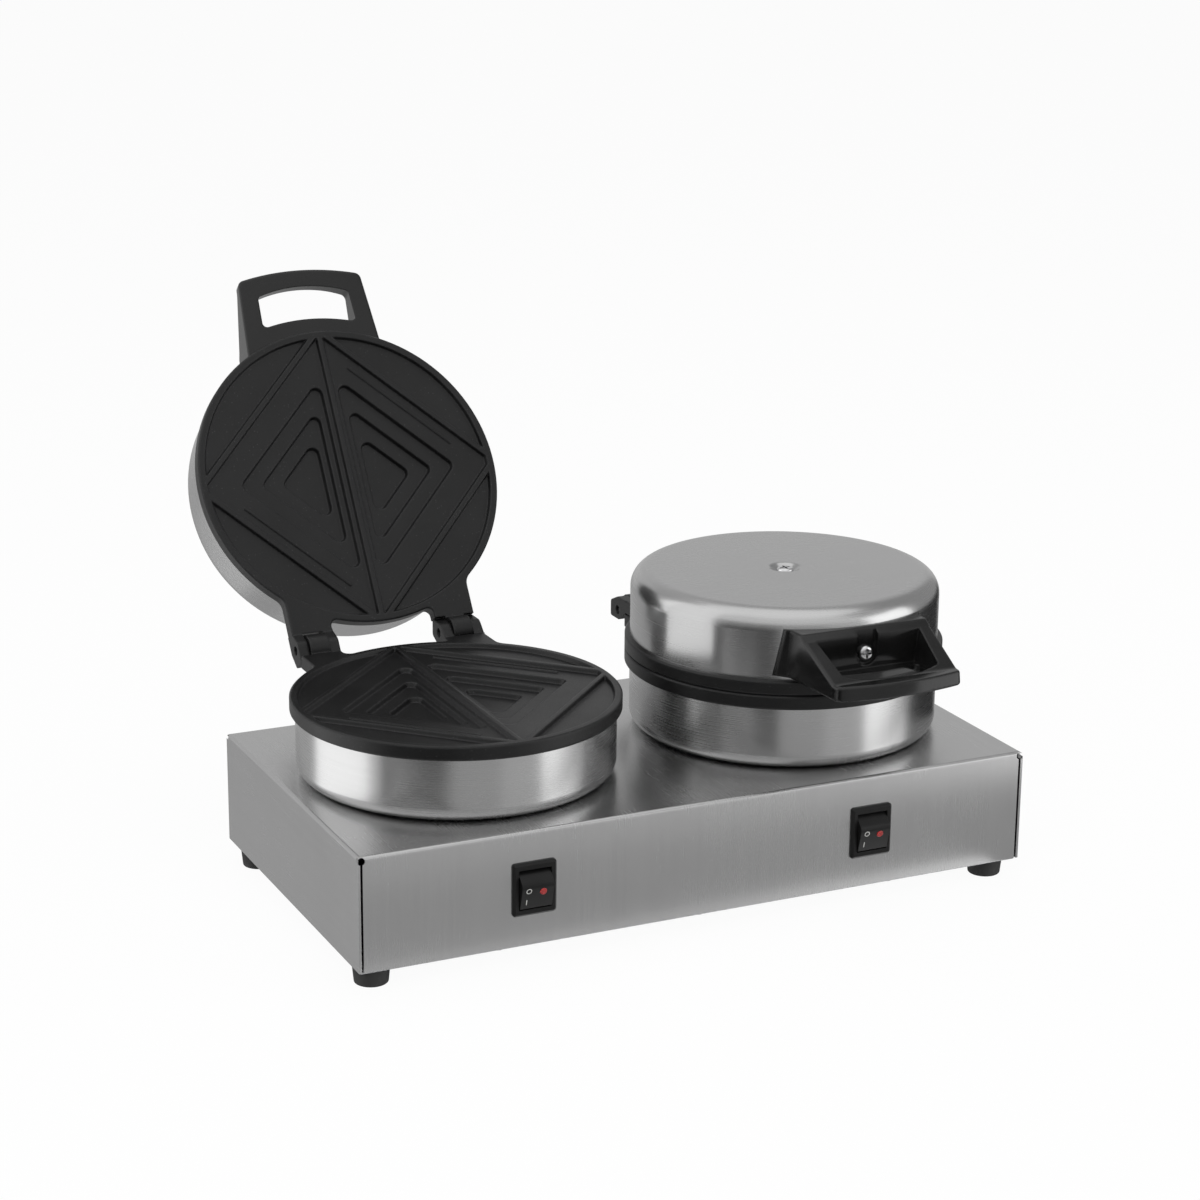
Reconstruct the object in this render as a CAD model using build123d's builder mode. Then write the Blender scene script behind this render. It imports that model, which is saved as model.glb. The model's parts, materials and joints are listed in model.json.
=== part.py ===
from build123d import *

import os
from math import cos, hypot, radians, sin, sqrt, tan

# A twin countertop sandwich maker: one long folded base that carries two round
# cookers, each with a fixed lower half and a lid on two interlocking hinges.
# X runs along the base, Y from the front to the back and Z up. The origin lies on
# the surface that the feet stand on, under the middle of the whole machine with its
# left lid open, so the base itself sits towards -Y. All sizes are in mm.

# Base cover and floor
BASE_CENTRE_Y = -63.0
BASE_LENGTH = 438.0
BASE_DEPTH = 230.0
BASE_HEIGHT = 70.0
BASE_SHEET = 1.5
BEND_RADIUS = 2.5
CORNER_GAP = 1.3
CORNER_RELIEF_RADIUS = 2.2
LIP_WIDTH = 28.0
FLOOR_SHEET = 1.2
FLOOR_INSET = 2.0
FLOOR_SCREW_SPACING = 130.0
FLOOR_SCREW_INSET = 8.0
VENT_LENGTH = 30.0
VENT_WIDTH = 3.0
VENT_SPACING = 8.0
VENTS_IN_GROUP = 5

# Feet
FOOT_HEIGHT = 12.0
FOOT_TOP_RADIUS = 11.2
FOOT_TREAD_RADIUS = 10.0
FOOT_EDGE_RADIUS = 1.0
FOOT_INSET_X = 13.5
FOOT_INSET_Y = 17.0
FOOT_RECESS_RADIUS = 5.4
FOOT_RECESS_DEPTH = 6.0

# Cooking plates: one casting, used four times, each upper one turned over
COOKER_SPACING = 223.0
PLATE_RADIUS = 100.0
RIM_HEIGHT = 9.0
RIM_LAND = 4.5
RIM_EDGE = 0.8
PLATE_GAP = 0.3
FIELD_DEPTH = 2.6
WALL_TAPER = 24.0
BEAD_REACH = 100.5
BEAD_WIDTH = 3.0
CRIMP_INSET = 11.8
CRIMP_START = 15.0
CRIMP_END = 74.0
CRIMP_WIDTH = 1.4
CRIMP_HEIGHT = 0.9
POCKET_STEP = 3.0
POCKET_REACHES = (74.0, 59.0, 44.5)
POCKET_INNER_SIDES = (5.0, 9.5, 14.0)
POCKET_CORNER_RADII = (5.0, 4.5, 5.0)
PAD_REACH = 80.0
PAD_DEPTH = 6.5
PAD_CORNER_RADIUS = 8.0
SPIGOT_WIDTH = 4.0
SPIGOT_DEPTH = 3.0
SPIGOT_CLEARANCE = 0.3
BOSS_REACH = 28.0
BOSS_RADIUS = 6.0
BOSS_COUNT = 3

# Hinges
HINGE_OVERHANG = 12.6
LID_OPEN_ANGLE = 124.0
ARM_CENTRE = 48.2
ARM_WIDTH = 27.0
ARM_ROOT_RADIUS = 4.0
ARM_OUTER_ROOT_RADIUS = 9.0
ARM_ROOT_SHARE = 0.6
ARM_OVERLAP = 1.0
SLOT_WIDTH = 13.8
SIDE_CLEARANCE = 0.5
SHOULDER_REACH = 10.5
STOP_GAP = 0.2
TONGUE_RADIUS = 9.2
CHEEK_TAIL = 10.4
CHEEK_STOP_WIDTH = 1.5
CHEEK_FRONT = 3.0
CHEEK_FRONT_RADIUS = 6.0
CHEEK_NOSE_RADIUS = 2.5
TAIL_BACK_HEIGHT = 4.3
PIN_RADIUS = 3.0
PIN_CLEARANCE = 0.05
PIN_RECESS = 1.5

# Pan under each lower plate and cover over each upper plate
SHELL_OVERHANG = 3.3
SHELL_SHEET = 1.0
PAN_HEIGHT = 39.7
PAN_EDGE_RADIUS = 9.0
COVER_HEIGHT = 43.0
COVER_EDGE_RADIUS = 12.5
COVER_CROWN = 0.7
DIMPLE_FLOOR_RADIUS = 6.0
DIMPLE_RADIUS = 10.5
DIMPLE_DEPTH = 3.2
DIMPLE_FLOOR_ROUND = 1.0
DIMPLE_EDGE_ROUND = 3.0
WIRE_HOLE_RADIUS = 9.0

# Heating elements and what clamps them
ELEMENT_RING_RADIUS = 46.0
ELEMENT_RADIUS = 4.0
ELEMENT_ARC = 290.0
ELEMENT_BEND_RADIUS = 8.0
ELEMENT_LEG = 4.0
TERMINAL_RADIUS = 1.6
TERMINAL_LENGTH = 6.0
CLAMP_SHEET = 1.5
CLAMP_HUB_RADIUS = 36.0
CLAMP_ARM_WIDTH = 18.0
CLAMP_CENTRE_HOLE_RADIUS = 8.6
STANDOFF_RADIUS = 5.0
POST_RADIUS = 6.0
POST_COLLAR_RADIUS = 11.0
POST_COLLAR_HEIGHT = 2.0
THERMOSTAT_RADIUS = 8.0
THERMOSTAT_HEIGHT = 14.0
THERMOSTAT_FLANGE_LENGTH = 31.0
THERMOSTAT_FLANGE_WIDTH = 18.0
THERMOSTAT_FLANGE_SHEET = 1.2
SPADE_WIDTH = 6.3
SPADE_SHEET = 0.8
SPADE_LENGTH = 8.0

# Lid handle, placed from the cooker's axis and the plates' contact plane
HANDLE_UNDERSIDE = 12.0
HANDLE_TOP = 41.0
HANDLE_FRONT = 149.0
HANDLE_ARCH = 5.5
HANDLE_FRONT_WIDTH = 85.0
HANDLE_BACK = 80.0
HANDLE_BACK_WIDTH = 94.2
FLARE_WIDTH = 106.5
FLARE_FRONT = 100.0
FLARE_FRONT_WIDTH = 76.4
HANDLE_DRAFT = 4.5
HANDLE_CORNER_RADIUS = 5.0
HANDLE_EDGE_RADIUS = 1.6
GRIP_TOP = 21.0
GRIP_WIDTH = 12.2
GRIP_SHOULDER = 137.0
GRIP_RISE_RADIUS = 8.0
BROW_REACH = 104.0
BROW_HEIGHT = 37.5
BROW_CHAMFER = 4.5
BROW_RADIUS = 2.0
BROW_TOP_RADIUS = 3.0
WINDOW_BACK_WIDTH = 67.0
WINDOW_FRONT_WIDTH = 62.5
WINDOW_DRAFT = 7.0
WINDOW_CORNER_RADIUS = 3.0
LEDGE_REACH = 113.5
LEDGE_CURVE_RADIUS = 121.0
LEDGE_HEIGHT = 4.5
HANDLE_SCREW_HEIGHT = 25.2
SCREW_CHANNEL_WIDTH = 14.0
SCREW_CHANNEL_DEPTH = 3.2
BACKING_SHEET = 2.5
BACKING_HEIGHT = 16.0
BACKING_ANGLE = 20.0

# Rocker switches
BEZEL_WIDTH = 27.6
BEZEL_HEIGHT = 32.5
BEZEL_PROUD = 2.4
BEZEL_BEVEL = 1.4
BEZEL_CORNER_RADIUS = 2.0
SWITCH_BODY_WIDTH = 23.2
SWITCH_BODY_HEIGHT = 27.0
SWITCH_BODY_DEPTH = 22.0
PANEL_CLEARANCE = 0.2
ROCKER_WELL_DEPTH = 9.0
ROCKER_WINDOW_WIDTH = 20.6
ROCKER_WINDOW_HEIGHT = 24.4
ROCKER_SIDE_CLEARANCE = 0.3
ROCKER_HALF_HEIGHT = 11.4
ROCKER_END_DROP = 1.2
ROCKER_BACK = 5.0
ROCKER_CREST_OUT = 5.5
ROCKER_CREST_HEIGHT = 3.0
ROCKER_CREST_RADIUS = 4.0
ROCKER_PIVOT_DEPTH = 2.0
ROCKER_TILT = 10.0
TRUNNION_RADIUS = 1.5
TRUNNION_LENGTH = 1.2
LENS_RADIUS = 2.2
LENS_DEPTH = 1.6
LENS_PROUD = 0.35
LENS_EDGE_RADIUS = 0.3
LENS_SIDE = 3.4
LENS_HEIGHT = -1.6
SPADE_SPACING_X = 12.0
SPADE_SPACING_Z = 14.0

# Lead inlet and terminal block
INLET_FROM_END = 59.0
GLAND_BORE_RADIUS = 4.2
GLAND_THREAD_RADIUS = 9.9
GLAND_HEX_RADIUS = 13.5
GLAND_FLANGE_LENGTH = 6.0
GLAND_THREAD_LENGTH = 12.0
GLAND_CAP_LENGTH = 13.0
GLAND_CAP_RADIUS = 12.0
GLAND_CAP_NOSE_RADIUS = 8.0
LOCKNUT_THICKNESS = 4.0
BLOCK_LENGTH = 44.0
BLOCK_WIDTH = 22.0
BLOCK_HEIGHT = 17.0
BLOCK_FOOT = 3.0
BLOCK_POLES = 3
BLOCK_END = 8.3
BLOCK_POLE_SPACING = 8.25
BLOCK_WIRE_RADIUS = 2.4
BLOCK_FROM_INLET = 28.0
BLOCK_Y = 45.0

# Fasteners: shank radius, head radius and head height
M4_RADIUS, M4_HEAD_RADIUS, M4_HEAD_HEIGHT = 2.0, 3.9, 2.6
M5_RADIUS, M5_HEAD_RADIUS, M5_HEAD_HEIGHT = 2.5, 4.8, 3.0
M6_RADIUS, M6_HEAD_RADIUS, M6_HEAD_HEIGHT = 3.0, 5.4, 3.0
M5_NUT_RADIUS, M5_NUT_HEIGHT = 4.6, 4.0
M6_NUT_RADIUS, M6_NUT_HEIGHT = 5.7, 5.0
THREAD_CLEARANCE = 0.08
HOLE_CLEARANCE = 0.25
DRIVE_WIDTH = 1.3
DRIVE_DEPTH = 1.6
DRIVE_SHARE = 0.62
HEAD_ROUND_SHARE = 0.7
COVER_SCREW_SHARE = 0.7
FLOOR_SCREW_GRIP = 4.0
THREAD_PROUD = 2.0
THREAD_SHORT = 1.0

# Heights above the surface that the feet stand on
COVER_BOTTOM = FOOT_HEIGHT + FLOOR_SHEET
BASE_TOP = COVER_BOTTOM + BASE_HEIGHT
CONTACT_HEIGHT = BASE_TOP + PAN_HEIGHT + RIM_HEIGHT
SWITCH_HEIGHT = COVER_BOTTOM + BASE_HEIGHT / 2
INLET_X = BASE_LENGTH / 2 - INLET_FROM_END
BLOCK_X = INLET_X - BLOCK_FROM_INLET

# Places shared by several pieces, measured from a cooker's axis and contact plane
HINGE_REACH = PLATE_RADIUS + HINGE_OVERHANG
SHELL_RADIUS = PLATE_RADIUS - SHELL_OVERHANG
FIELD_RADIUS = PLATE_RADIUS - RIM_LAND
PAD_FACE = RIM_HEIGHT + PAD_DEPTH
BOSS_HEIGHT = 2 * ELEMENT_RADIUS - THREAD_CLEARANCE
CLAMP_FACE = PAD_FACE + 2 * ELEMENT_RADIUS
CLAMP_BACK = CLAMP_FACE + CLAMP_SHEET
PAN_FLOOR = RIM_HEIGHT + PAN_HEIGHT
COVER_TOP = RIM_HEIGHT + COVER_HEIGHT
FOOT_X = BASE_LENGTH / 2 - FOOT_INSET_X
FOOT_Y = BASE_DEPTH / 2 - FOOT_INSET_Y
LEAST_SIZE = 0.01


def save(piece, name):
    """Move a finished piece to its place about the origin, name it and write it as its own file."""
    placed = piece.moved(Location((0, BASE_CENTRE_Y, 0)))
    placed.label = name
    export_step(placed, f"parts/{name}.step")


def pan_screw(radius, length, head_radius, head_height):
    """A pan-head screw standing on its thread: the head's seat is at the origin and the shank runs down."""
    with BuildPart() as screw:
        with BuildSketch(Plane.XZ):
            with BuildLine():
                FilletPolyline(
                    (0, -length),
                    (radius, -length),
                    (radius, 0),
                    (head_radius, 0),
                    (head_radius, head_height),
                    (0, head_height),
                    radius=(0, 0, 0, 0, head_height * HEAD_ROUND_SHARE, 0),
                    close=True,
                )
            make_face()
        revolve(axis=Axis.Z)
        drive_span = 2 * head_radius * DRIVE_SHARE
        with BuildSketch(Plane.XY.offset(head_height)):
            Rectangle(drive_span, DRIVE_WIDTH)
            Rectangle(DRIVE_WIDTH, drive_span)
        extrude(amount=-DRIVE_DEPTH, mode=Mode.SUBTRACT)
    return screw.part


def hex_nut(radius, height, bore):
    """A hexagon nut that stands on the XY plane."""
    with BuildPart() as nut:
        with BuildSketch():
            RegularPolygon(radius, 6)
            Circle(bore, mode=Mode.SUBTRACT)
        extrude(amount=height)
    return nut.part


def copies(part, places):
    """One kind of fastener repeated at several places."""
    return Compound([solid for place in places for solid in part.moved(place).solids()])


# Base cover: one sheet folded down on four sides, with lips turned in along the front and back
def base_cover():
    inside_length = BASE_LENGTH - 2 * BASE_SHEET
    with BuildPart() as cover:
        with BuildSketch(Plane.XY.offset(COVER_BOTTOM)):
            Rectangle(BASE_LENGTH, BASE_DEPTH)
        extrude(amount=BASE_HEIGHT)
        fillet(cover.faces().sort_by(Axis.Z)[-1].edges(), radius=BEND_RADIUS)
        offset(amount=-BASE_SHEET, openings=cover.faces().sort_by(Axis.Z)[0])
        lip_y = BASE_DEPTH / 2 - BASE_SHEET - LIP_WIDTH / 2
        with BuildSketch(Plane.XY.offset(COVER_BOTTOM)):
            with GridLocations(0, 2 * lip_y, 1, 2):
                Rectangle(inside_length - 2 * CORNER_GAP, LIP_WIDTH + BASE_SHEET / 2)
        extrude(amount=BASE_SHEET)
        # The front and back walls stop short of the side walls, with a round relief at each upper corner
        slit_x = BASE_LENGTH / 2 - BASE_SHEET - CORNER_GAP / 2
        wall_y = BASE_DEPTH / 2 - BASE_SHEET / 2
        slit_height = BASE_HEIGHT - BEND_RADIUS
        with BuildSketch(Plane.XY.offset(COVER_BOTTOM)):
            with GridLocations(2 * slit_x, 2 * wall_y, 2, 2):
                Rectangle(CORNER_GAP, 2 * BASE_SHEET)
        extrude(amount=slit_height, mode=Mode.SUBTRACT)
        relief_y = BASE_DEPTH / 2
        for side in (-1, 1):
            with BuildSketch(Plane.XZ.offset(-side * relief_y)):
                with Locations(*[(x, BASE_TOP - BEND_RADIUS) for x in (-slit_x, slit_x)]):
                    Circle(CORNER_RELIEF_RADIUS)
            extrude(amount=side * 2 * BASE_SHEET, mode=Mode.SUBTRACT)
        # Holes in the top for each cooker's standoffs and wires
        with BuildSketch(Plane.XY.offset(BASE_TOP)):
            for x in cooker_places():
                with Locations((x, 0)):
                    with PolarLocations(BOSS_REACH, BOSS_COUNT):
                        Circle(M6_RADIUS + HOLE_CLEARANCE)
                    Circle(WIRE_HOLE_RADIUS)
        extrude(amount=-BASE_SHEET * 2, mode=Mode.SUBTRACT)
        # Switch cut-outs in the front wall and the inlet hole in the back wall
        with BuildSketch(Plane.XZ.offset(BASE_DEPTH / 2)):
            with Locations(*[(x, SWITCH_HEIGHT) for x in cooker_places()]):
                Rectangle(SWITCH_BODY_WIDTH + 2 * PANEL_CLEARANCE, SWITCH_BODY_HEIGHT + 2 * PANEL_CLEARANCE)
        extrude(amount=-2 * BASE_SHEET, mode=Mode.SUBTRACT)
        with BuildSketch(Plane.XZ.offset(-BASE_DEPTH / 2)):
            with Locations((INLET_X, SWITCH_HEIGHT)):
                Circle(GLAND_THREAD_RADIUS + HOLE_CLEARANCE)
        extrude(amount=2 * BASE_SHEET, mode=Mode.SUBTRACT)
        # Screw holes through the lips
        with BuildSketch(Plane.XY.offset(COVER_BOTTOM)):
            with Locations(*floor_screw_places()):
                Circle(M4_RADIUS + THREAD_CLEARANCE)
            with GridLocations(2 * FOOT_X, 2 * FOOT_Y, 2, 2):
                Circle(M5_RADIUS + HOLE_CLEARANCE)
        extrude(amount=2 * BASE_SHEET, mode=Mode.SUBTRACT)
    return cover.part


def cooker_places():
    """X of each cooker's axis, left then right."""
    return (-COOKER_SPACING / 2, COOKER_SPACING / 2)


def floor_screw_places():
    """X and Y of the screws that hold the floor to the cover's lips."""
    y = BASE_DEPTH / 2 - BASE_SHEET - FLOOR_SCREW_INSET
    return [(x, side * y) for side in (-1, 1) for x in (-FLOOR_SCREW_SPACING, 0, FLOOR_SCREW_SPACING)]


def base_floor():
    with BuildPart() as floor:
        with BuildSketch(Plane.XY.offset(FOOT_HEIGHT)):
            Rectangle(BASE_LENGTH - 2 * FLOOR_INSET, BASE_DEPTH - 2 * FLOOR_INSET)
            with Locations(*floor_screw_places()):
                Circle(M4_RADIUS + HOLE_CLEARANCE, mode=Mode.SUBTRACT)
            with GridLocations(2 * FOOT_X, 2 * FOOT_Y, 2, 2):
                Circle(M5_RADIUS + HOLE_CLEARANCE, mode=Mode.SUBTRACT)
            for x in cooker_places():
                with Locations((x, 0)):
                    with GridLocations(0, VENT_SPACING, 1, VENTS_IN_GROUP):
                        SlotOverall(VENT_LENGTH, VENT_WIDTH, mode=Mode.SUBTRACT)
            with Locations(*block_screw_places()):
                Circle(M4_RADIUS + THREAD_CLEARANCE, mode=Mode.SUBTRACT)
        extrude(amount=FLOOR_SHEET)
    return floor.part


def foot():
    """A tapered rubber foot with a recess for its screw, standing on the XY plane."""
    with BuildPart() as rubber:
        with BuildSketch(Plane.XZ):
            with BuildLine():
                FilletPolyline(
                    (M5_RADIUS + HOLE_CLEARANCE, FOOT_HEIGHT),
                    (M5_RADIUS + HOLE_CLEARANCE, FOOT_RECESS_DEPTH),
                    (FOOT_RECESS_RADIUS, FOOT_RECESS_DEPTH),
                    (FOOT_RECESS_RADIUS, 0),
                    (FOOT_TREAD_RADIUS, 0),
                    (FOOT_TOP_RADIUS, FOOT_HEIGHT),
                    radius=(0, 0, 0, 0, FOOT_EDGE_RADIUS, 0),
                    close=True,
                )
            make_face()
        revolve(axis=Axis.Z)
    return rubber.part


# Cooking plate, as the lower one lies: the contact plane is at height 0 and the casting is below it
def diamond(reach, corner_radius=0.0):
    """A square standing on its corner, whose corners are this far from the middle."""
    with BuildSketch(mode=Mode.PRIVATE) as square:
        with Locations(Rotation(0, 0, 45)):
            side = reach * hypot(1, 1)
            if corner_radius:
                RectangleRounded(side, side, corner_radius)
            else:
                Rectangle(side, side)
    return square.sketch


def pocket_outline(reach, inner_side, corner_radius, side):
    """A right-angled triangle with its long side along the divider and its corners rounded."""
    with BuildSketch(mode=Mode.PRIVATE) as outline:
        with BuildLine():
            Polyline(
                (side * inner_side, reach - inner_side),
                (side * reach, 0),
                (side * inner_side, inner_side - reach),
                close=True,
            )
        make_face()
        fillet(outline.vertices(), radius=corner_radius)
    return outline.sketch


def is_on_rim(corner):
    """True for a corner of the outline where an arm leaves the round rim."""
    return corner.Y > 0 and abs(hypot(corner.X, corner.Y) - PLATE_RADIUS) < LEAST_SIZE


def is_rim_edge(edge):
    """True for the round edges of the rim, above and below."""
    return edge.geom_type == GeomType.CIRCLE and abs(edge.radius - PLATE_RADIUS) < LEAST_SIZE


def plate():
    shoulder_y = HINGE_REACH - SHOULDER_REACH
    arm_inner = ARM_CENTRE - ARM_WIDTH / 2
    arm_length = shoulder_y - PLATE_RADIUS / 2
    with BuildPart() as casting:
        # Rim and the two hinge arms, drawn as one outline
        with BuildSketch(Plane.XY.offset(-RIM_HEIGHT)) as outline:
            Circle(PLATE_RADIUS)
            with Locations(*[(side * ARM_CENTRE, shoulder_y) for side in (-1, 1)]):
                Rectangle(ARM_WIDTH, arm_length, align=(Align.CENTER, Align.MAX))
            roots = outline.vertices().filter_by(is_on_rim).sort_by(lambda corner: abs(corner.X))
            root_room = shoulder_y - sqrt(PLATE_RADIUS**2 - arm_inner**2)
            fillet(roots[:2], radius=min(ARM_ROOT_RADIUS, root_room * ARM_ROOT_SHARE))
            roots = outline.vertices().filter_by(is_on_rim).sort_by(lambda corner: abs(corner.X))
            fillet(roots[-2:], radius=ARM_OUTER_ROOT_RADIUS)
        extrude(amount=RIM_HEIGHT - PLATE_GAP / 2)
        chamfer(casting.edges().filter_by(is_rim_edge), length=RIM_EDGE)
        # Raised pad that backs the pockets, the spigot that centres the shell, and the screw bosses
        with BuildSketch(Plane.XY.offset(-RIM_HEIGHT)):
            add(diamond(PAD_REACH, PAD_CORNER_RADIUS))
        extrude(amount=-PAD_DEPTH)
        spigot_radius = SHELL_RADIUS - SHELL_SHEET - SPIGOT_CLEARANCE
        with BuildSketch(Plane.XY.offset(-RIM_HEIGHT)):
            Circle(spigot_radius)
            Circle(spigot_radius - SPIGOT_WIDTH, mode=Mode.SUBTRACT)
        extrude(amount=-SPIGOT_DEPTH)
        with BuildSketch(Plane.XY.offset(-PAD_FACE)):
            Circle(BOSS_RADIUS)
            with PolarLocations(BOSS_REACH, BOSS_COUNT):
                Circle(BOSS_RADIUS)
        extrude(amount=-BOSS_HEIGHT)
        with BuildSketch(Plane.XY.offset(-PAD_FACE - BOSS_HEIGHT)):
            Circle(M6_RADIUS + THREAD_CLEARANCE)
            with PolarLocations(BOSS_REACH, BOSS_COUNT):
                Circle(M6_RADIUS + THREAD_CLEARANCE)
        extrude(amount=BOSS_HEIGHT, mode=Mode.SUBTRACT)
        # Field sunk inside the rim, which leaves the beads of the square and its divider standing
        top = Plane.XY.offset(-PLATE_GAP / 2)
        bead = BEAD_WIDTH / hypot(1, 1)
        with BuildSketch(top):
            Circle(FIELD_RADIUS)
            add(diamond(BEAD_REACH + bead), mode=Mode.SUBTRACT)
        extrude(amount=-FIELD_DEPTH, taper=WALL_TAPER, mode=Mode.SUBTRACT)
        with BuildSketch(top):
            Circle(FIELD_RADIUS)
            add(diamond(BEAD_REACH - bead), mode=Mode.INTERSECT)
            Rectangle(BEAD_WIDTH, 2 * PLATE_RADIUS, mode=Mode.SUBTRACT)
        extrude(amount=-FIELD_DEPTH, taper=WALL_TAPER, mode=Mode.SUBTRACT)
        # Three nested pockets in each half, each a step deeper than the one around it
        pockets = zip(POCKET_REACHES, POCKET_INNER_SIDES, POCKET_CORNER_RADII)
        for level, (reach, inner, radius) in enumerate(pockets):
            depth = PLATE_GAP / 2 + FIELD_DEPTH + level * POCKET_STEP
            for side in (-1, 1):
                with BuildSketch(Plane.XY.offset(-depth)):
                    add(pocket_outline(reach, inner, radius, side))
                extrude(amount=-POCKET_STEP, taper=WALL_TAPER, mode=Mode.SUBTRACT)
        # A thin crimping rib inside two opposite sides of the square
        rib_reach = BEAD_REACH - CRIMP_INSET
        with BuildSketch(Plane.XY.offset(-PLATE_GAP / 2 - FIELD_DEPTH)):
            for side in (-1, 1):
                start = (side * CRIMP_START, side * (rib_reach - CRIMP_START))
                end = (side * CRIMP_END, side * (rib_reach - CRIMP_END))
                middle = ((start[0] + end[0]) / 2, (start[1] + end[1]) / 2)
                with Locations(Location((*middle, 0), (0, 0, -45))):
                    SlotOverall(hypot(end[0] - start[0], end[1] - start[1]), CRIMP_WIDTH)
        extrude(amount=CRIMP_HEIGHT)
        # Fork on one arm and tongue on the other, so that two of these castings interlock
        cheek_width = (ARM_WIDTH - SLOT_WIDTH) / 2
        for offset in (-1, 1):
            cheek_x = ARM_CENTRE + offset * (SLOT_WIDTH + cheek_width) / 2
            with BuildSketch(Plane.YZ.offset(cheek_x - cheek_width / 2)):
                add(cheek_profile())
            extrude(amount=cheek_width)
        with BuildSketch(Plane.YZ.offset(-ARM_CENTRE - SLOT_WIDTH / 2 + SIDE_CLEARANCE)):
            add(tongue_profile())
        extrude(amount=SLOT_WIDTH - 2 * SIDE_CLEARANCE)
        with BuildSketch(Plane.YZ.offset(-ARM_CENTRE - ARM_WIDTH / 2)):
            with Locations((HINGE_REACH, 0)):
                Circle(PIN_RADIUS + PIN_CLEARANCE)
        extrude(amount=2 * ARM_CENTRE + ARM_WIDTH, mode=Mode.SUBTRACT)
    return casting.part


def cheek_profile():
    """Side view of a fork cheek. The flat on its tail meets the other casting's shoulder when fully open."""
    swing = radians(LID_OPEN_ANGLE)
    reach = SHOULDER_REACH - STOP_GAP
    tail_top = (reach + CHEEK_TAIL * cos(swing)) / sin(swing)
    cheek_top = tail_top - CHEEK_STOP_WIDTH * cos(swing)
    tail_start = CHEEK_TAIL - CHEEK_STOP_WIDTH * sin(swing)
    root = HINGE_REACH - SHOULDER_REACH
    with BuildSketch(mode=Mode.PRIVATE) as profile:
        with BuildLine():
            FilletPolyline(
                (root - ARM_OVERLAP, -RIM_HEIGHT),
                (HINGE_REACH, -RIM_HEIGHT),
                (HINGE_REACH + CHEEK_TAIL, -TAIL_BACK_HEIGHT),
                (HINGE_REACH + CHEEK_TAIL, tail_top),
                (HINGE_REACH + tail_start, cheek_top),
                (HINGE_REACH - CHEEK_FRONT, cheek_top),
                (root + PLATE_GAP, -PLATE_GAP / 2),
                (root - ARM_OVERLAP, -PLATE_GAP / 2),
                radius=(0, CHEEK_NOSE_RADIUS, CHEEK_NOSE_RADIUS, 0, 0, CHEEK_FRONT_RADIUS, 0, 0),
                close=True,
            )
        make_face()
    return profile.sketch


def tongue_profile():
    """Side view of the tongue: a bar from the arm that ends in a round knuckle about the pin."""
    root = HINGE_REACH - SHOULDER_REACH
    with BuildSketch(mode=Mode.PRIVATE) as profile:
        with Locations((HINGE_REACH, 0)):
            Circle(TONGUE_RADIUS)
        with Locations((root - ARM_OVERLAP, -PLATE_GAP / 2)):
            bar_height = RIM_HEIGHT - PLATE_GAP / 2
            Rectangle(SHOULDER_REACH + ARM_OVERLAP, bar_height, align=(Align.MIN, Align.MAX))
    return profile.sketch


def hinge_pins():
    """The two pins of one cooker, each sunk a little into both ends of its knuckle."""
    length = ARM_WIDTH - 2 * PIN_RECESS
    with BuildPart() as pins:
        for side in (-1, 1):
            with BuildSketch(Plane.YZ.offset(side * ARM_CENTRE - length / 2)):
                with Locations((HINGE_REACH, 0)):
                    Circle(PIN_RADIUS)
            extrude(amount=length)
    return pins.part


# Shells
def pan():
    """The drawn cup under the lower plate, with its open edge up."""
    with BuildPart() as cup:
        for inset in (0, SHELL_SHEET):
            with BuildSketch(Plane.XZ):
                with BuildLine():
                    FilletPolyline(
                        (0, -RIM_HEIGHT),
                        (0, inset - PAN_FLOOR),
                        (SHELL_RADIUS - inset, inset - PAN_FLOOR),
                        (SHELL_RADIUS - inset, -RIM_HEIGHT),
                        radius=(0, 0, PAN_EDGE_RADIUS - inset, 0),
                        close=True,
                    )
                make_face()
            revolve(axis=Axis.Z, mode=Mode.SUBTRACT if inset else Mode.ADD)
        with BuildSketch(Plane.XY.offset(-PAN_FLOOR)):
            Circle(WIRE_HOLE_RADIUS)
            with PolarLocations(BOSS_REACH, BOSS_COUNT):
                Circle(M6_RADIUS + HOLE_CLEARANCE)
        extrude(amount=2 * SHELL_SHEET, mode=Mode.SUBTRACT)
    return cup.part


def lid_cover():
    """The drawn cover over the upper plate, crowned, with a dimple for its screw."""
    with BuildPart() as cover:
        for inset in (0, SHELL_SHEET):
            top = COVER_TOP - inset
            radius = SHELL_RADIUS - inset
            with BuildSketch(Plane.XZ):
                with BuildLine():
                    FilletPolyline(
                        (0, RIM_HEIGHT),
                        (0, top - DIMPLE_DEPTH),
                        (DIMPLE_FLOOR_RADIUS + inset, top - DIMPLE_DEPTH),
                        (DIMPLE_RADIUS + inset, top),
                        (radius, top - COVER_CROWN),
                        (radius, RIM_HEIGHT),
                        radius=(0, 0, DIMPLE_FLOOR_ROUND, DIMPLE_EDGE_ROUND, COVER_EDGE_RADIUS - inset, 0),
                        close=True,
                    )
                make_face()
            revolve(axis=Axis.Z, mode=Mode.SUBTRACT if inset else Mode.ADD)
        with BuildSketch(Plane.XY.offset(COVER_TOP)):
            Circle(M6_RADIUS + HOLE_CLEARANCE)
        extrude(amount=-2 * (DIMPLE_DEPTH + SHELL_SHEET), mode=Mode.SUBTRACT)
        with BuildSketch(Plane.XZ.offset(SHELL_RADIUS)):
            with Locations((0, HANDLE_SCREW_HEIGHT)):
                Circle(M5_RADIUS + HOLE_CLEARANCE)
        extrude(amount=-RIM_HEIGHT, mode=Mode.SUBTRACT)
    return cover.part


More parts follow.
